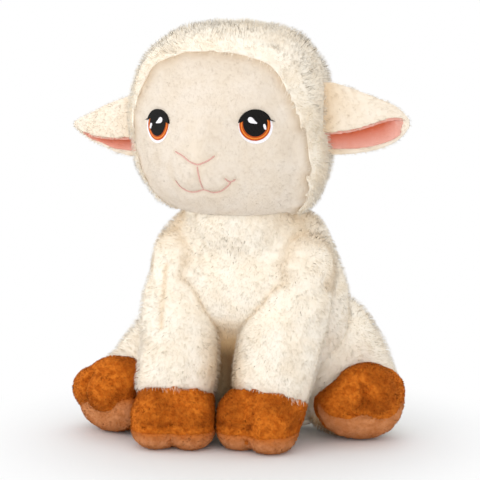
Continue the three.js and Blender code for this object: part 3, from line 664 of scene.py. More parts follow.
def sculptFace(places, normals):
    places = settled(places, "head")
    away = distances(panelTree, places)
    turn = math.radians(faceShape["turn"])
    x = (places[:, 0] - neckPlace[0]) * math.cos(turn) - (places[:, 1] - neckPlace[1]) * math.sin(turn)
    z = places[:, 2] - headPlace[2]
    frontFrom, frontFade = faceShape["front"]
    front = np.clip((headPlace[1] - frontFrom - places[:, 1]) / frontFade, 0, 1)

    def swelling(part, ways):
        atX, atZ, reach, rise = faceShape[part]
        return sum(hill(np.hypot(x - way * atX, z - atZ), reach) for way in ways) * rise

    wide, high = faceShape["bridge"]
    top, full, low, end = faceShape["bridgeEnds"]
    rise = swelling("lips", (1, -1))
    rise += hill(x, wide) * high * np.interp(z, [end, low, full, top], [0, 1, 1, 0])
    rise += swelling("nose", (1,))
    rise -= inSeam(places) * faceShape["stitch"][1]
    rise += swelling("eyes", (1, -1))
    browFrom, browReach, browDepth = faceShape["brow"]
    browShare = np.clip((z - browFrom + faceShape["browFade"]) / faceShape["browFade"], 0, 1)
    rise -= hill(distances(hoodTree, places), browReach) * browDepth * browShare
    edgeFrom, edgeFade = faceShape["edge"]
    under = np.clip((away - edgeFrom) / edgeFade, 0, 1)
    return places + normals * (rise * front * (1 - under) - under * faceShape["sunk"])[:, None]


hoodTree = treeOf(hood)
inSeam = seamFinder(faceShape["stitch"][0])
moved(face, sculptFace)
tail = dressedForm("tail_plush", ["tail"], formOf["tail"])

# Balls that carry each leg into the body, and the one that fills each hind leg's instep
shoulders = {"front_leg_left": ((0.0325, -0.0125, 0.108), (0.021, 0.0195, 0.022)),
             "front_leg_right": ((-0.0335, -0.0125, 0.108), (0.021, 0.0195, 0.022)),
             "hind_leg_left": ((0.0445, 0.0400, 0.042), (0.0255, 0.0295, 0.038), legTurn["left"]),
             "hind_leg_right": ((-0.0480, 0.0350, 0.042), (0.0255, 0.0295, 0.038), legTurn["right"])}
insteps = {"hind_leg_left": [((0.0694, 0.0125, 0.031), (0.0175, 0.0125, 0.0165), legTurn["left"])],
           "hind_leg_right": [((-0.0762, -0.0085, 0.031), (0.0175, 0.0125, 0.0165), legTurn["right"])]}
# Where each hind foot stands, which way it looks and leans in degrees, where its cleft is and how high its sole ends
hindFeet = {"left": {"place": (0.0724, 0.0065), "yaw": 27, "tilt": 8, "cleft": -0.0025, "soleTop": 0.025},
            "right": {"place": (-0.0806, -0.0135), "yaw": -32, "tilt": -8, "cleft": -0.0058, "soleTop": 0.025}}
# The two toes of a hind hoof and the cleft between them
toeShape = {"cleftWidth": 0.0024, "cleftDepth": 0.0042, "low": 0.019, "high": 0.027, "cleftTop": 0.040,
            "cleftFade": 0.004, "middle": 0.023, "toeSide": 0.0110, "toeHigh": 0.027, "toeWide": 0.0115,
            "toeTall": 0.0125, "toeRise": 0.0034, "facing": 1.6, "crown": (1.6, 1.5)}
# The front hooves' crease over the sole and the cleft of the left one, both sunk and given painted shade
hoofLip = {"crease": 0.0165, "wide": 0.0016, "foldShade": 0.5, "sunk": 0.0006, "wander": (0.012, 302, 0.0009),
           "fade": (0.6, 0.7), "cleft": {"front_leg_left": 0.0140}, "cleftWide": 0.0018,
           "cleftEnds": (0.010, 0.015, 0.024, 0.034), "bow": (0.0030, 0.010, 0.034), "front": -0.03}


def cleftLine(key, places):
    if key not in hoofLip["cleft"]:
        return np.zeros(len(places))
    bowed, low, high = hoofLip["bow"]
    bow = bowed * np.sin((places[:, 2] - low) / high * np.pi)
    return hill(places[:, 0] - hoofLip["cleft"][key] - bow, hoofLip["cleftWide"]) * np.interp(
        places[:, 2], hoofLip["cleftEnds"], [0, 1, 1, 0]) * (places[:, 1] < hoofLip["front"])


def creaseLine(places):
    size, seed, most = hoofLip["wander"]
    base, change = hoofLip["fade"]
    wander = waves(places, size, seed)
    return hill(hoofLip["crease"] + wander[:, 0] * most - places[:, 2], hoofLip["wide"]) * np.clip(
        base + change * wander[:, 1], 0, 1)


def foldHoof(key):
    def change(places, normals):
        sunk = cleftLine(key, places) + creaseLine(places) * np.clip(-normals[:, 1], 0, 1)
        return places - normals * (sunk * hoofLip["sunk"])[:, None]
    return change


def hindToes(foot):
    yaw = math.radians(foot["yaw"])
    ahead = np.array([math.sin(yaw), -math.cos(yaw)])
    across = np.array([math.cos(yaw), math.sin(yaw)])
    crown, slope = toeShape["crown"]

    def change(places, normals):
        flat = places[:, :2] - np.array(foot["place"])
        lean = (places[:, 2] - toeShape["middle"]) * math.tan(math.radians(foot["tilt"]))
        side = flat @ across - foot["cleft"] + lean
        facing = np.clip(normals[:, :2] @ ahead * toeShape["facing"], 0, 1)
        up = np.clip((places[:, 2] - toeShape["low"]) / (toeShape["high"] - toeShape["low"]), 0, 1)
        rise = sum(np.clip(crown - slope * np.hypot((side - way * toeShape["toeSide"]) / toeShape["toeWide"],
                                                    (places[:, 2] - toeShape["toeHigh"]) / toeShape["toeTall"]), 0, 1)
                   for way in (1, -1)) * toeShape["toeRise"] * facing
        over = np.clip((toeShape["cleftTop"] - places[:, 2]) / toeShape["cleftFade"], 0, 1)
        rise -= hill(side, toeShape["cleftWidth"]) * up * over * facing * toeShape["cleftDepth"]
        return places + normals * rise[:, None]
    return change


# In mm from the ear's hinge: outward, then the ridge, the rear edge, the front lip and half the depth of the fold
earRows = {
    "left": [(-12, 17, -13, -1, 4.5), (-5, 22, -15.5, -3, 5.5), (0, 25, -16.5, -4.2, 7), (8, 23.5, -17.2, -4, 9),
             (16, 20.5, -17, -2.8, 9.6), (24, 17.3, -15.8, -0.8, 9.3), (31, 14.2, -13.6, 1.8, 8.4),
             (37, 11.5, -11, 3.6, 7), (42, 8.6, -7.4, 3.8, 5), (45.5, 5.0, -3.8, 2.6, 3), (47.2, 1.2, -0.6, 0.6, 1)],
    "right": [(-12, 8, -19, -9, 4), (-5, 12, -21.5, -11, 5), (0, 14, -23, -12, 6.5), (8, 12.4, -23.6, -12.3, 8),
              (16, 9.6, -23.6, -13, 8.6), (24, 6.4, -23, -13.4, 8.2), (31, 3, -20, -13.4, 7.4),
              (38, -0.6, -18.2, -12.8, 6.4), (44, -3.2, -15, -11.6, 4.6), (48, -5, -12, -10, 2.8),
              (50.2, -7.4, -9.4, -8.6, 1)]}
# Place of each ear's hinge in metres; the walls, the gap and the lining are in mm
earShape = {"left": (0.05315, -0.01636, 0.191), "right": (-0.05470, -0.01071, 0.191), "turn": -3.0, "sweep": 0.315,
            "sweepFrom": -4, "wall": 3.0, "gap": 0.25, "lining": 1.4, "steps": (34, 22), "mostInset": (0.42, 0.75),
            "leastDepth": 0.25, "leastRise": 0.4, "frontMost": (-0.2, 0.98)}
# How the sheet of cloth and the lining differ: how much shorter, how much higher and how far behind the lip, how far
# round the fold they go in degrees, and the remesh
earLayer = {"cloth": {"shorter": 0, "raised": 0, "lip": 0, "round": 92, "voxel": 0.0013, "smooth": 6,
                      "lump": (0.01, 0.0007)},
            "lining": {"shorter": 3.4, "raised": 1.0, "lip": 1.4, "round": 88, "voxel": 0.0007, "smooth": 3}}


def meshObject(name, places, faces):
    mesh = bpy.data.meshes.new(name)
    mesh.from_pydata([list(p) for p in places], [], faces)
    made = bpy.data.objects.new(name, mesh)
    scene.collection.objects.link(made)
    inEdit(made, bpy.ops.mesh.normals_make_consistent, inside=False)
    return made


def eased(values):
    for k in range(2):
        values = np.convolve(np.pad(values, 1, "edge"), [0.25, 0.5, 0.25], "valid")
    return values


def earSheet(name, side, kind):
    layer = earLayer[kind]
    rows = np.array(earRows[side], float)
    lengthSteps, arcSteps = earShape["steps"]
    xs = np.linspace(rows[0, 0], rows[-1, 0] - layer["shorter"], lengthSteps + 1)
    top, low, lip, depth = (eased(np.interp(xs, rows[:, 0], rows[:, k])) for k in (1, 2, 3, 4))
    insets = (0, earShape["wall"])
    if kind == "lining":
        outer = earShape["wall"] + earShape["gap"]
        insets = (outer, outer + earShape["lining"])
    ofHeight, ofDepth = earShape["mostInset"]
    layers = []
    for inset in insets:
        inset = np.minimum(inset, ofHeight * (top - low))
        half = np.maximum(depth - np.minimum(inset, depth * ofDepth), earShape["leastDepth"])
        base = low + layer["raised"]
        rise = np.maximum(top - inset - base, earShape["leastRise"])
        front = np.arccos(np.clip((lip - layer["lip"] - base) / rise, *earShape["frontMost"]))
        for share in np.linspace(0, 1, arcSteps + 1):
            fold = -front + (front + math.radians(layer["round"])) * share
            back = earShape["sweep"] * np.maximum(xs, earShape["sweepFrom"])
            layers.append(np.stack([xs, back + half * np.sin(fold), base + rise * np.cos(fold)], 1))
    grid = np.array(layers).reshape(2, arcSteps + 1, lengthSteps + 1, 3)
    turn = math.radians(earShape["turn"])
    flat = grid.reshape(-1, 3) * mm * np.array([1 if side == "left" else -1, 1, 1])
    places = np.stack([flat[:, 0] * math.cos(turn) - flat[:, 1] * math.sin(turn),
                       flat[:, 0] * math.sin(turn) + flat[:, 1] * math.cos(turn), flat[:, 2]], 1) + earShape[side]

    def at(sheet, j, i):
        return (sheet * (arcSteps + 1) + j) * (lengthSteps + 1) + i

    faces = []
    for i in range(lengthSteps):
        for j in range(arcSteps):
            for sheet in (0, 1):
                faces.append((at(sheet, j, i), at(sheet, j + 1, i), at(sheet, j + 1, i + 1), at(sheet, j, i + 1)))
        for j in (0, arcSteps):
            faces.append((at(0, j, i), at(1, j, i), at(1, j, i + 1), at(0, j, i + 1)))
    for j in range(arcSteps):
        for i in (0, lengthSteps):
            faces.append((at(0, j, i), at(1, j, i), at(1, j + 1, i), at(0, j + 1, i)))
    made = meshObject(name, places, faces)
    applied(made, "REMESH", mode="VOXEL", voxel_size=layer["voxel"], use_smooth_shade=True)
    relaxed(made, layer["smooth"])
    if "lump" in layer:
        lumpy(made, *layer["lump"])
    return shaded(made)


ears, linings, legs, hooves, soles = {}, {}, {}, {}, {}
for side in ("left", "right"):
    ears[side] = earSheet("ear_plush_" + side, side, "cloth")
    linings[side] = earSheet("ear_lining_plush_" + side, side, "lining")
    for kind in ("front", "hind"):
        key = kind + "_leg_" + side
        hoofNode, soleNode = kind + "_hoof_" + side, kind + "_sole_" + side
        legs[key] = dressedForm(kind + "_leg_plush_" + side, [key, kind + "_leg_stuffing_" + side], formOf["leg"],
                                extras=[ball(*shoulders[key])])
        hooves[key] = dressedForm(kind + "_hoof_plush_" + side, [hoofNode, soleNode], formOf["hoof"],
                                  extras=ballsOf(insteps.get(key, [])))
        soles[key] = dressedForm(kind + "_sole_plush_" + side, [soleNode], formOf["sole"],
                                 top=hindFeet[side]["soleTop"] if kind == "hind" else None)
        moved(soles[key], lambda places, normals: places + normals * formOf["sole"]["proud"])
        moved(hooves[key], hindToes(hindFeet[side]) if kind == "hind" else foldHoof(key))
        for piece in (legs[key], hooves[key], soles[key]):
            moved(piece, settleOnly("body"))
print("forms made")

# Eyes, nose and mouth are sewn on the face; look is the way each eye faces
faceTree = treeOf(face)
eyes = {"left": {"place": (0.0243, 0.1946), "look": (0.473, -0.872, 0.123)},
        "right": {"place": (-0.0320, 0.1925), "look": (-0.568, -0.814, 0.123)}}
eyeParts = {  # middle and radii in mm, outward and up, then lift and thread
    "white": ((0.5, -0.8), (9.7, 9.2), 0.35, "white"),
    "iris": ((0.0, 0.0), (8.9, 8.4), 0.6, "amber"),
    "glow": ((0.0, 0.05), (8.1, 7.6), 0.75, "glow"),
    "rim": ((0.0, 0.2), (7.45, 7.0), 0.9, "amber"),
    "pupil": ((0.0, 1.1), (6.9, 7.1), 1.1, "black")}
lashCurve = {"outer": (9.6, 9.1), "inner": (7.4, 5.6), "innerWide": 1.12, "innerUp": 0.9, "from": 168, "to": 20,
             "flick": (11.6, 2.0), "steps": 22, "lift": 1.25, "crown": 0.1}
glints = {"drop": [(-4.3, 3.2), (-3.9, 4.6), (-2.6, 5.0), (-1.4, 4.3), (-0.4, 3.0), (1.2, 1.4), (0.9, 1.0),
                   (-1.2, 1.3), (-3.2, 1.6)],
          "bar": [(4.3, 0.2), (4.9, 0.9), (5.7, 0.7), (6.1, -0.8), (6.2, -2.2), (5.5, -2.5), (4.9, -1.6)]}
glintShape = {"lift": 1.55, "crown": 0.12}
# Rings of a sewn patch in shares of its outline, its rise and depth in mm, and the sharpest edge that stays smooth
patchShape = {"rings": [1.0, 0.94, 0.75, 0.5, 0.25], "crown": 0.25, "under": 0.5, "corner": 40}
onFaceReach = {"before": -0.06, "back": 0.03}  # where the rays that find the face start


def smoothOutline(points, rounds=2):
    points = np.array(points, float)
    for step in range(rounds):
        after = np.roll(points, -1, axis=0)
        points = np.stack([points * 0.75 + after * 0.25, points * 0.25 + after * 0.75], 1).reshape(-1, 2)
    return points


def ellipse(middle, radii, steps=44):
    turn = np.linspace(0, 2 * np.pi, steps, endpoint=False)
    return np.stack([middle[0] + radii[0] * np.cos(turn), middle[1] + radii[1] * np.sin(turn)], 1)


def lashOutline(curve):
    turn = np.radians(np.linspace(curve["from"], curve["to"], curve["steps"]))
    outer = np.stack([curve["outer"][0] * np.cos(turn), curve["outer"][1] * np.sin(turn)], 1)
    back = turn[::-1]
    inner = np.stack([curve["inner"][0] * np.cos(back) * curve["innerWide"],
                      curve["inner"][1] * np.sin(back) + curve["innerUp"]], 1)
    return np.vstack([outer, [curve["flick"]], inner])


def onFaceAt(place, way):
    return faceTree.ray_cast(Vector(place) - Vector(way) * onFaceReach["back"], Vector(way))[0]


def onFaceFrom(x, z):
    return onFaceAt((x, onFaceReach["before"], z), (0, 1, 0))


def sewnPatch(name, side, outline, lift, crown):
    eye = eyes[side]
    sign = 1 if side == "left" else -1
    look = Vector(eye["look"]).normalized()
    outward = Vector((0, 0, 1)).cross(look).normalized() * sign
    up = look.cross(outward) * sign
    middle = onFaceFrom(*eye["place"])

    def lifted(spot, rise):
        flat = middle + outward * (spot[0] * mm) + up * (spot[1] * mm)
        return (onFaceAt(flat, -look) or flat) + look * (rise * mm)

    centre = outline.mean(0)
    count, shares = len(outline), patchShape["rings"]
    rings = [lifted(spot, lift + crown * (1 - share ** 4))
             for share in shares for spot in centre + (outline - centre) * share]
    under = [p - look * ((lift + patchShape["under"]) * mm) for p in rings[:count]]
    tipAt, underAt, last = len(rings), len(rings) + 1, (len(shares) - 1) * count
    faces = []
    for i in range(count):
        j = (i + 1) % count
        for ring in range(len(shares) - 1):
            a, b = ring * count, (ring + 1) * count
            faces.append((a + i, a + j, b + j, b + i))
        faces.append((last + i, last + j, tipAt))
        faces.append((i, underAt + i, underAt + j, j))
    faces.append(tuple(reversed([underAt + i for i in range(count)])))
    made = meshObject(name, rings + [lifted(centre, lift + crown)] + under, faces)
    bpy.ops.object.shade_smooth_by_angle(angle=math.radians(patchShape["corner"]))
    return made


def dressThread(obj, colour, nodes):
    obj.data.materials.clear()
    obj.data.materials.append(materials[colour])
    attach(obj, "head")
    if nodes:
        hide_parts(*nodes)


nodeOf = {"white": "eye_white_", "iris": "eye_iris_", "pupil": "eye_pupil_"}
for side in ("left", "right"):
    for part, (middle, radii, lift, colour) in eyeParts.items():
        made = sewnPatch("sewn_eye_" + part + "_" + side, side, ellipse(middle, radii), lift, patchShape["crown"])
        dressThread(made, colour, [nodeOf[part] + side] if part in nodeOf else [])
    lash = sewnPatch("sewn_eye_lash_" + side, side, lashOutline(lashCurve), lashCurve["lift"], lashCurve["crown"])
    dressThread(lash, "black", ["eye_lash_" + side])
    for part, points in glints.items():
        glint = sewnPatch("sewn_eye_" + part + "_" + side, side, smoothOutline(points), glintShape["lift"],
                          glintShape["crown"])
        dressThread(glint, "white", [])

# A row of stitches that pull in where they meet, in metres; its ends taper over endSteps points
stitching = {"radius": 0.00043, "sunk": 0.0001, "stitch": 0.0016, "samples": 5, "waist": 0.3, "sides": 6,
             "flat": 1.15, "endSteps": 3, "endShare": 0.15}


def sewnLine(name, lines):
    places, faces = [], []
    sides = stitching["sides"]
    for line in lines:
        flat, wanted = alongCurve(line, stitching["stitch"] / stitching["samples"])
        spots = np.array([list(onFaceFrom(x + headPlace[0] + seamShift, z + headPlace[2])) for x, z in flat])
        count = len(spots)
        ahead = unit(np.gradient(spots, axis=0))
        across = unit(np.cross(ahead, np.tile([0.0, -1.0, 0.0], (count, 1))))
        out = np.cross(across, ahead)
        phase = wanted / stitching["stitch"] * np.pi
        toEnd = np.minimum(np.arange(count), np.arange(count)[::-1])
        ends = np.minimum(1, toEnd / stitching["endSteps"] + stitching["endShare"])
        radius = stitching["radius"] * (1 - stitching["waist"] * (1 - np.abs(np.sin(phase)))) * ends
        start = len(places)
        for spot, r, a, o in zip(spots, radius, across, out):
            for k in range(sides):
                angle = 2 * np.pi * k / sides
                ring = (a * math.cos(angle) * stitching["flat"] + o * math.sin(angle)) * r
                places.append(spot + o * stitching["sunk"] + ring)
        for i in range(count - 1):
            a, b = start + i * sides, start + (i + 1) * sides
            for k in range(sides):
                n = (k + 1) % sides
                faces.append((a + k, a + n, b + n, b + k))
        faces.append(tuple(start + k for k in range(sides)))
        faces.append(tuple(reversed([start + (count - 1) * sides + k for k in range(sides)])))
    made = meshObject(name, places, faces)
    bpy.ops.object.shade_smooth()
    return made


noseLine = sewnLine("nose_thread", seams["nose_thread"])
mouthLine = sewnLine("mouth_thread", seams["mouth_thread"])
dressThread(noseLine, "pink", ["nose_stitch"])
dressThread(mouthLine, "pink", ["mouth_stitch"])
print("face sewn")

# Which way the pile lies: down on body and legs, away from the face on it and its hood, out along the ears
down = np.array([0, 0, -1.0])
partings = {"muzzle": headPlace + np.array([0.0, -0.06, -0.02]), "hood": headPlace + np.array([0.0, -0.05, -0.005])}
# Round the face the hood's pile turns over the rim, longer and closer
fringe = {"from": 0.002, "reach": 0.009, "turned": 1.5, "laid": 0.6, "longer": 0.35, "denser": 0.8, "facing": 0.35}


def layDown(places, outward):
    return np.tile(down, (len(places), 1))


def layFromMuzzle(places, outward):
    return unit(places - partings["muzzle"])


def layHood(places, outward):
    edge = np.clip(1 - (distances(panelTree, places) - fringe["from"]) / fringe["reach"], 0, 1)[:, None]
    back, toFace = unit(places - partings["hood"]), -layFromMuzzle(places, outward)
    return unit(back * (1 - edge) + toFace * edge * fringe["turned"]) * (1 + fringe["laid"] * edge)


def byFringe(places, most):
    return 1 + most * np.clip(1 - distances(panelTree, places) / fringe["reach"], 0, 1)


def layOut(side):
    way = np.array([1.0 if side == "left" else -1.0, 0, -0.2])
    return lambda places, outward: np.tile(way, (len(places), 1))


# Strands to the square mm; length, width and swirl in metres; the rest are shares
woolPile = {"density": 0.75, "length": 0.0027, "width": 0.00026, "lay": 0.65, "swirl": 0.03, "swirlLean": 0.22,
            "mess": 0.10, "clump": 9, "pull": 0.16, "speckle": 0.0, "seed": 11}
hoodPile = dict(woolPile, length=0.0034, lay=0.55, swirlLean=0.3, pull=0.2, seed=21)
facePile = dict(woolPile, length=0.0009, width=0.0002, density=0.9, clump=10, pull=0.1, lay=0.9, seed=31)
seatPile = dict(facePile, density=0.4, seed=33)
earPile = dict(woolPile, length=0.0018, width=0.00024, seed=41)
liningPile = dict(facePile, length=0.0008, seed=51)
legPile = dict(woolPile, length=0.0034, seed=70)
hoofPile = dict(facePile, length=0.0010, width=0.00034, density=1.7, swirl=0.012, swirlLean=0.8, lay=0.6, pull=0.3,
                speckle=0.9, seed=80)
solePile = dict(hoofPile, length=0.0009, seed=90)

bodyTree, neckTree, hoodTree = treeOf(body), treeOf(neck), treeOf(hood)
legTrees = {key: treeOf(leg) for key, leg in legs.items()}
hoofTrees = {key: treeOf(hoof) for key, hoof in hooves.items()}
soleTrees = {key: treeOf(sole) for key, sole in soles.items()}
sewn = [o for o in scene.objects if o.name.startswith(("sewn_eye_white", "sewn_eye_lash"))]
threadTrees = [(treeOf(o), 0.0006) for o in sewn] + [(treeOf(o), 0.0003) for o in (noseLine, mouthLine)]

# Painted shade in seams, pits and creases, under the head, in folds and in the hooves' nap, and at the soles' top a
# tint toward the hooves' colour: mostly a reach and the most tone, then heights and depths
tones = {"neck": (0.011, 0.6, 0.15), "between": {"middle": -0.0035, "wide": 0.015, "high": 0.080, "fade": 0.03,
                                                 "most": 1.6, "back": 0.01, "legHigh": 0.075, "legMost": 0.9},
         "seam": (0.0015, 0.3), "legSeam": ([(-0.0358, 0.108), (-0.0374, 0.072)], 0.0016, 0.5),
         "hind": {"high": 0.018, "fade": 0.006, "most": 1.6, "back": 0.022}, "earRoot": (0.010, 0.6, 0.3),
         "lining": {"power": 1.3, "front": 0.1, "edge": 0.001, "end": 44, "fade": 12},
         "face": {"reach": 0.004, "most": 0.5, "stitch": 0.25, "front": -0.03},
         "hoof": {"base": 0.5, "change": 1.2, "size": 0.02, "seed": 301, "most": 0.6, "lip": [-0.001, 0.002],
                  "under": [1, 0.3]}, "sole": {"top": 0.012, "fade": 0.006}}


def byLine(places, ends, reach):
    a, b = np.array(ends[0]), np.array(ends[1])
    flat = places[:, [0, 2]]
    share = np.clip(((flat - a) @ (b - a)) / ((b - a) @ (b - a)), 0, 1)[:, None]
    return hill(np.linalg.norm(flat - (a + (b - a) * share), axis=1), reach)


# Painted shade under the head, in the gap between the legs and in the seams round the front legs
def bodyPaintedShade(places, outward):
    reach, most, high = tones["neck"]
    tone = hill(np.maximum(distances(hoodTree, places), 0), reach) * most * (places[:, 2] < high)
    gap = tones["between"]
    tone += (hill(places[:, 0] - gap["middle"], gap["wide"])
             * np.clip((gap["high"] - places[:, 2]) / gap["fade"], 0, 1) * gap["most"] * (places[:, 1] < gap["back"]))
    reach, most = tones["seam"]
    for tree in (legTrees["front_leg_left"], legTrees["front_leg_right"]):
        tone += hill(distances(tree, places), reach) * most
    return np.clip(tone, 0, 2)


# Painted shade where the leg meets the body, along its crease and on its inner side by the gap
def legPaintedShade(places, outward):
    reach, most = tones["seam"]
    tone = hill(distances(bodyTree, places), reach) * most
    ends, reach, most = tones["legSeam"]
    tone += byLine(places, ends, reach) * most * (outward[:, 1] < 0)
    gap = tones["between"]
    inner = np.clip(1 - np.abs(places[:, 0] - gap["middle"]) / gap["wide"], 0, 1)
    inner = inner * np.clip((gap["legHigh"] - places[:, 2]) / gap["fade"], 0, 1)
    return np.clip(tone + inner * gap["legMost"], 0, 2)


# Painted shade low on the hind leg, near the floor
def hindFootPaintedShade(places, outward):
    low = tones["hind"]
    return np.clip((low["high"] - places[:, 2]) / low["fade"], 0, low["most"]) * (places[:, 1] < low["back"])


# Painted shade at the ear's root
def earRootPaintedShade(side):
    reach, most, facing = tones["earRoot"]
    hinge = earShape[side][0]
    return lambda places, outward: (hill(np.abs(places[:, 0] - hinge), reach) * most
                                    * np.clip(facing - outward[:, 1], 0, 1))


# Painted shade inside the lining's fold, growing toward the top and faint on the front, fading toward the tip
def liningFoldPaintedShade(side):
    rows = np.array(earRows[side], float)
    hinge, fold = earShape[side], tones["lining"]

    def tone(places, outward):
        along = np.abs(places[:, 0] - hinge[0]) / mm
        lip = np.interp(along, rows[:, 0], rows[:, 3]) - earLayer["lining"]["lip"]
        low = np.interp(along, rows[:, 0], rows[:, 2])
        height = (places[:, 2] - hinge[2]) / mm
        inside = np.clip((height - low) / np.maximum(lip - low, 1), 0, 1)
        behind = places[:, 1] > hinge[1] + earShape["sweep"] * along * mm - fold["edge"]
        shade = np.where(behind, inside ** fold["power"], fold["front"])
        return shade * np.clip((fold["end"] - along) / fold["fade"], 0, 1)
    return tone


# Painted shade along the hood's rim and at the nose and mouth stitches
def facePaintedShade(places, outward):
    rim = tones["face"]
    near = hill(distances(hoodTree, places), rim["reach"]) * rim["most"]
    return np.clip(near + inSeam(places) * rim["stitch"] * (places[:, 1] < rim["front"]), 0, 1)


# Painted shade in nap patches of the velour, less of it below the front hooves' crease, and in the crease and the
# cleft
def hoofPaintedShade(key):
    nap = tones["hoof"]

    def tone(places, outward):
        patches = waves(places, nap["size"], nap["seed"])[:, 0]
        shade = np.clip(nap["base"] + nap["change"] * patches, 0, 1) * nap["most"]
        if key.startswith("front"):
            shade = shade * np.interp(hoofLip["crease"] - places[:, 2], nap["lip"], nap["under"])
            shade = shade + creaseLine(places) * hoofLip["foldShade"] + cleftLine(key, places) * hoofLip["foldShade"]
        return shade
    return tone


def soleHollow(key):
    edge = tones["sole"]
    top = hindFeet[key.split("_")[-1]]["soleTop"] if key.startswith("hind") else edge["top"]
    return lambda places, outward: np.clip((places[:, 2] - top + edge["fade"]) / edge["fade"], 0, 1)


# Where pile grows at all, and how deep under the head the body's own still does, shorter as it goes up
growsOn = {"face": (0.004, -0.02), "seat": 0.002, "sole": 0.0008}
underHead = {"depth": 0.012, "heights": [0.138, 0.150], "lengths": [1, 0.55]}
grown(body, woolPile, layDown, hide=legTrees.values(), hollow=bodyPaintedShade,
      hideDeep=[(hoodTree, underHead["depth"]), (faceTree, underHead["depth"])],
      lengthShare=lambda p, n: np.interp(p[:, 2], underHead["heights"], underHead["lengths"]))
grown(hood, hoodPile, layHood, hide=[neckTree, faceTree],
      keep=lambda p, n: (n * unit(p - headPlace)).sum(1) > fringe["facing"],
      lengthShare=lambda p, n: byFringe(p, fringe["longer"]), denser=lambda p: byFringe(p, fringe["denser"]))
grown(face, facePile, layFromMuzzle, hide=[hoodTree, neckTree], keepOff=threadTrees, hollow=facePaintedShade,
      keep=lambda p, n: (distances(panelTree, p) < growsOn["face"][0]) & (p[:, 1] < growsOn["face"][1]))
grown(seat, seatPile, layDown, hide=[bodyTree], keep=lambda p, n: p[:, 2] < growsOn["seat"])
grown(tail, woolPile, layDown, hide=[bodyTree])
for side in ("left", "right"):
    grown(ears[side], dict(earPile, seed=earPile["seed"] + len(side)), layOut(side),
          hide=[hoodTree, treeOf(linings[side])], hollow=earRootPaintedShade(side))
    grown(linings[side], dict(liningPile, seed=liningPile["seed"] + len(side)), layOut(side), hide=[hoodTree],
          hollow=liningFoldPaintedShade(side))
for key, leg in legs.items():
    grown(leg, dict(legPile, seed=legPile["seed"] + len(key)), layDown, hide=[bodyTree, hoofTrees[key]],
          hollow=legPaintedShade if key.startswith("front") else hindFootPaintedShade)
    grown(hooves[key], dict(hoofPile, seed=hoofPile["seed"] + len(key)), layDown,
          hide=[legTrees[key], soleTrees[key]], hollow=hoofPaintedShade(key))
    grown(soles[key], dict(solePile, seed=solePile["seed"] + len(key)), layDown, hide=[hoofTrees[key]],
          keep=lambda p, n: p[:, 2] > growsOn["sole"], hollow=soleHollow(key))
print("pile grown")

# Points where the cloth of one piece would turn from the body it is sewn to, to its own; no such blend is made here,
# and dress leaves these pieces unattached
softJoints = {
    "tail": {"from": "torso", "start": (-0.00057, 0.057, 0.050), "end": (-0.00057, 0.068, 0.050)},
    "ear_left": {"from": "head", "start": (0.0495, -0.0175, 0.191), "end": (0.0630, -0.0145, 0.191)},
    "ear_right": {"from": "head", "start": (-0.0510, -0.0120, 0.191), "end": (-0.0645, -0.0085, 0.191)},
    "front_leg_left": {"from": "torso", "start": (0.0324, -0.0125, 0.116), "end": (0.0324, -0.0125, 0.088)},
    "front_leg_right": {"from": "torso", "start": (-0.0336, -0.0125, 0.116), "end": (-0.0336, -0.0125, 0.088)},
    "hind_leg_left": {"from": "torso", "start": (0.0466, 0.0463, 0.023), "end": (0.0584, 0.0232, 0.023)},
    "hind_leg_right": {"from": "torso", "start": (-0.0507, 0.0324, 0.023), "end": (-0.0645, 0.0104, 0.023)}}

dress(body, "woolPlush", "torso", ["body_cover", "chest_panel", "body_stuffing", "pellet_bag"])
dress(seat, "shortPlush", "torso", ["base_panel"])
dress(neck, "woolPlush", "neck", ["neck_core"])
dress(hood, "woolPlush", "head", ["wool_hood"])
dress(face, "shortPlush", "head", ["face_panel", "head_stuffing"])
dress(tail, "woolPlush", "tail", ["tail"], softJoints["tail"])
for side in ("left", "right"):
    ear = "ear_" + side
    dress(ears[side], "earPlush", side + "_ear", [ear], softJoints[ear])
    dress(linings[side], "liningPlush", side + "_ear", ["ear_lining_" + side],
          softJoints[ear])
    for kind in ("front", "hind"):
        key = kind + "_leg_" + side
        bodyName = side + "_" + kind + "_leg"
        dress(legs[key], "woolPlush", bodyName, [key, kind + "_leg_stuffing_" + side],
              softJoints[key])
        dress(hooves[key], "hoofVelour", bodyName, [kind + "_hoof_" + side])
        dress(soles[key], "soleVelour", bodyName, [kind + "_sole_" + side])
print("pieces dressed")

# Matt painted board that takes the toy's shadow; to the camera it fades to plain white away from the toy
floorPaint = {"size": 6, "colour": (0.83, 0.84, 0.85, 1), "roughness": 0.9, "fadeFrom": 0.085, "fadeTo": 0.18}


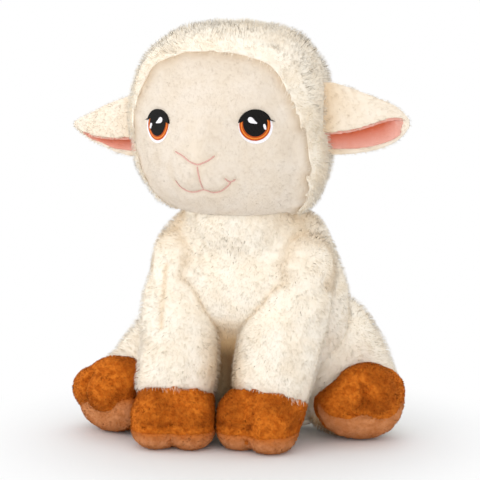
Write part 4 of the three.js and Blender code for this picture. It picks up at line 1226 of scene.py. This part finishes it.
def makeFloor(paint):
    bpy.ops.object.select_all(action="DESELECT")
    bpy.ops.mesh.primitive_plane_add(size=paint["size"])
    floor = bpy.context.view_layer.objects.active
    floor.name = "floor"
    material, tree = newMaterial("paleFloor")
    place = addNode(tree, "TexCoord").outputs["Object"]
    far = addNode(tree, "VectorMath", {"operation": "LENGTH"}, links={0: place})
    fade = addNode(tree, "MapRange", {"interpolation_type": "SMOOTHSTEP"},
                   {"From Min": paint["fadeFrom"], "From Max": paint["fadeTo"]}, {"Value": far.outputs["Value"]})
    path = addNode(tree, "LightPath")
    seen = addNode(tree, "Math", {"operation": "MULTIPLY"},
                   links={0: path.outputs["Is Camera Ray"], 1: fade.outputs[0]})
    board = addNode(tree, "BsdfPrincipled", values={"Base Color": paint["colour"], "Roughness": paint["roughness"],
                                                    "Specular IOR Level": 0.1})
    plain = addNode(tree, "Emission", values={"Color": (1, 1, 1, 1), "Strength": 1.0})
    shown = addNode(tree, "MixShader", links={0: seen.outputs[0], 1: board.outputs[0], 2: plain.outputs[0]})
    addNode(tree, "OutputMaterial", links={"Surface": shown.outputs[0]})
    floor.data.materials.append(material)


def areaLight(name, place, size, power, aim=(0, 0, 0.1)):
    data = bpy.data.lights.new(name, "AREA")
    data.size = size
    data.energy = power
    light = bpy.data.objects.new(name, data)
    light.location = place
    light.rotation_euler = (Vector(place) - Vector(aim)).to_track_quat("Z", "Y").to_euler()
    scene.collection.objects.link(light)


# White to the camera and in gloss and glass, and a soft even light to all else
def makeWorld(strength):
    world = bpy.data.worlds.new("studio")
    scene.world = world
    world.use_nodes = True
    tree = world.node_tree
    tree.nodes.clear()
    path = addNode(tree, "LightPath")
    both = addNode(tree, "Math", {"operation": "MAXIMUM"},
                   links={0: path.outputs["Is Camera Ray"], 1: path.outputs["Is Glossy Ray"]})
    either = addNode(tree, "Math", {"operation": "MAXIMUM"},
                     links={0: both.outputs[0], 1: path.outputs["Is Transmission Ray"]})
    ambient = addNode(tree, "Background", values={"Color": (1, 1, 1, 1), "Strength": strength})
    white = addNode(tree, "Background", values={"Color": (1, 1, 1, 1), "Strength": 1.0})
    shown = addNode(tree, "MixShader", links={0: either.outputs[0], 1: ambient.outputs[0], 2: white.outputs[0]})
    addNode(tree, "OutputWorld", links={"Surface": shown.outputs[0]})


# Place, size across in metres and power in watts
lights = {"keyLight": ((-0.9, -1.5, 0.8), 1.5, 7), "fillLight": ((0.7, -1.6, 0.15), 1.4, 10),
          "sideLight": ((-1.5, -0.4, 0.4), 1.2, 4), "topLight": ((0.1, 0.2, 1.8), 1.4, 4.5)}
roomLight = 0.86
makeFloor(floorPaint)
for name, values in lights.items():
    areaLight(name, *values)
makeWorld(roomLight)
scene.view_settings.view_transform = "Standard"
print("light set")
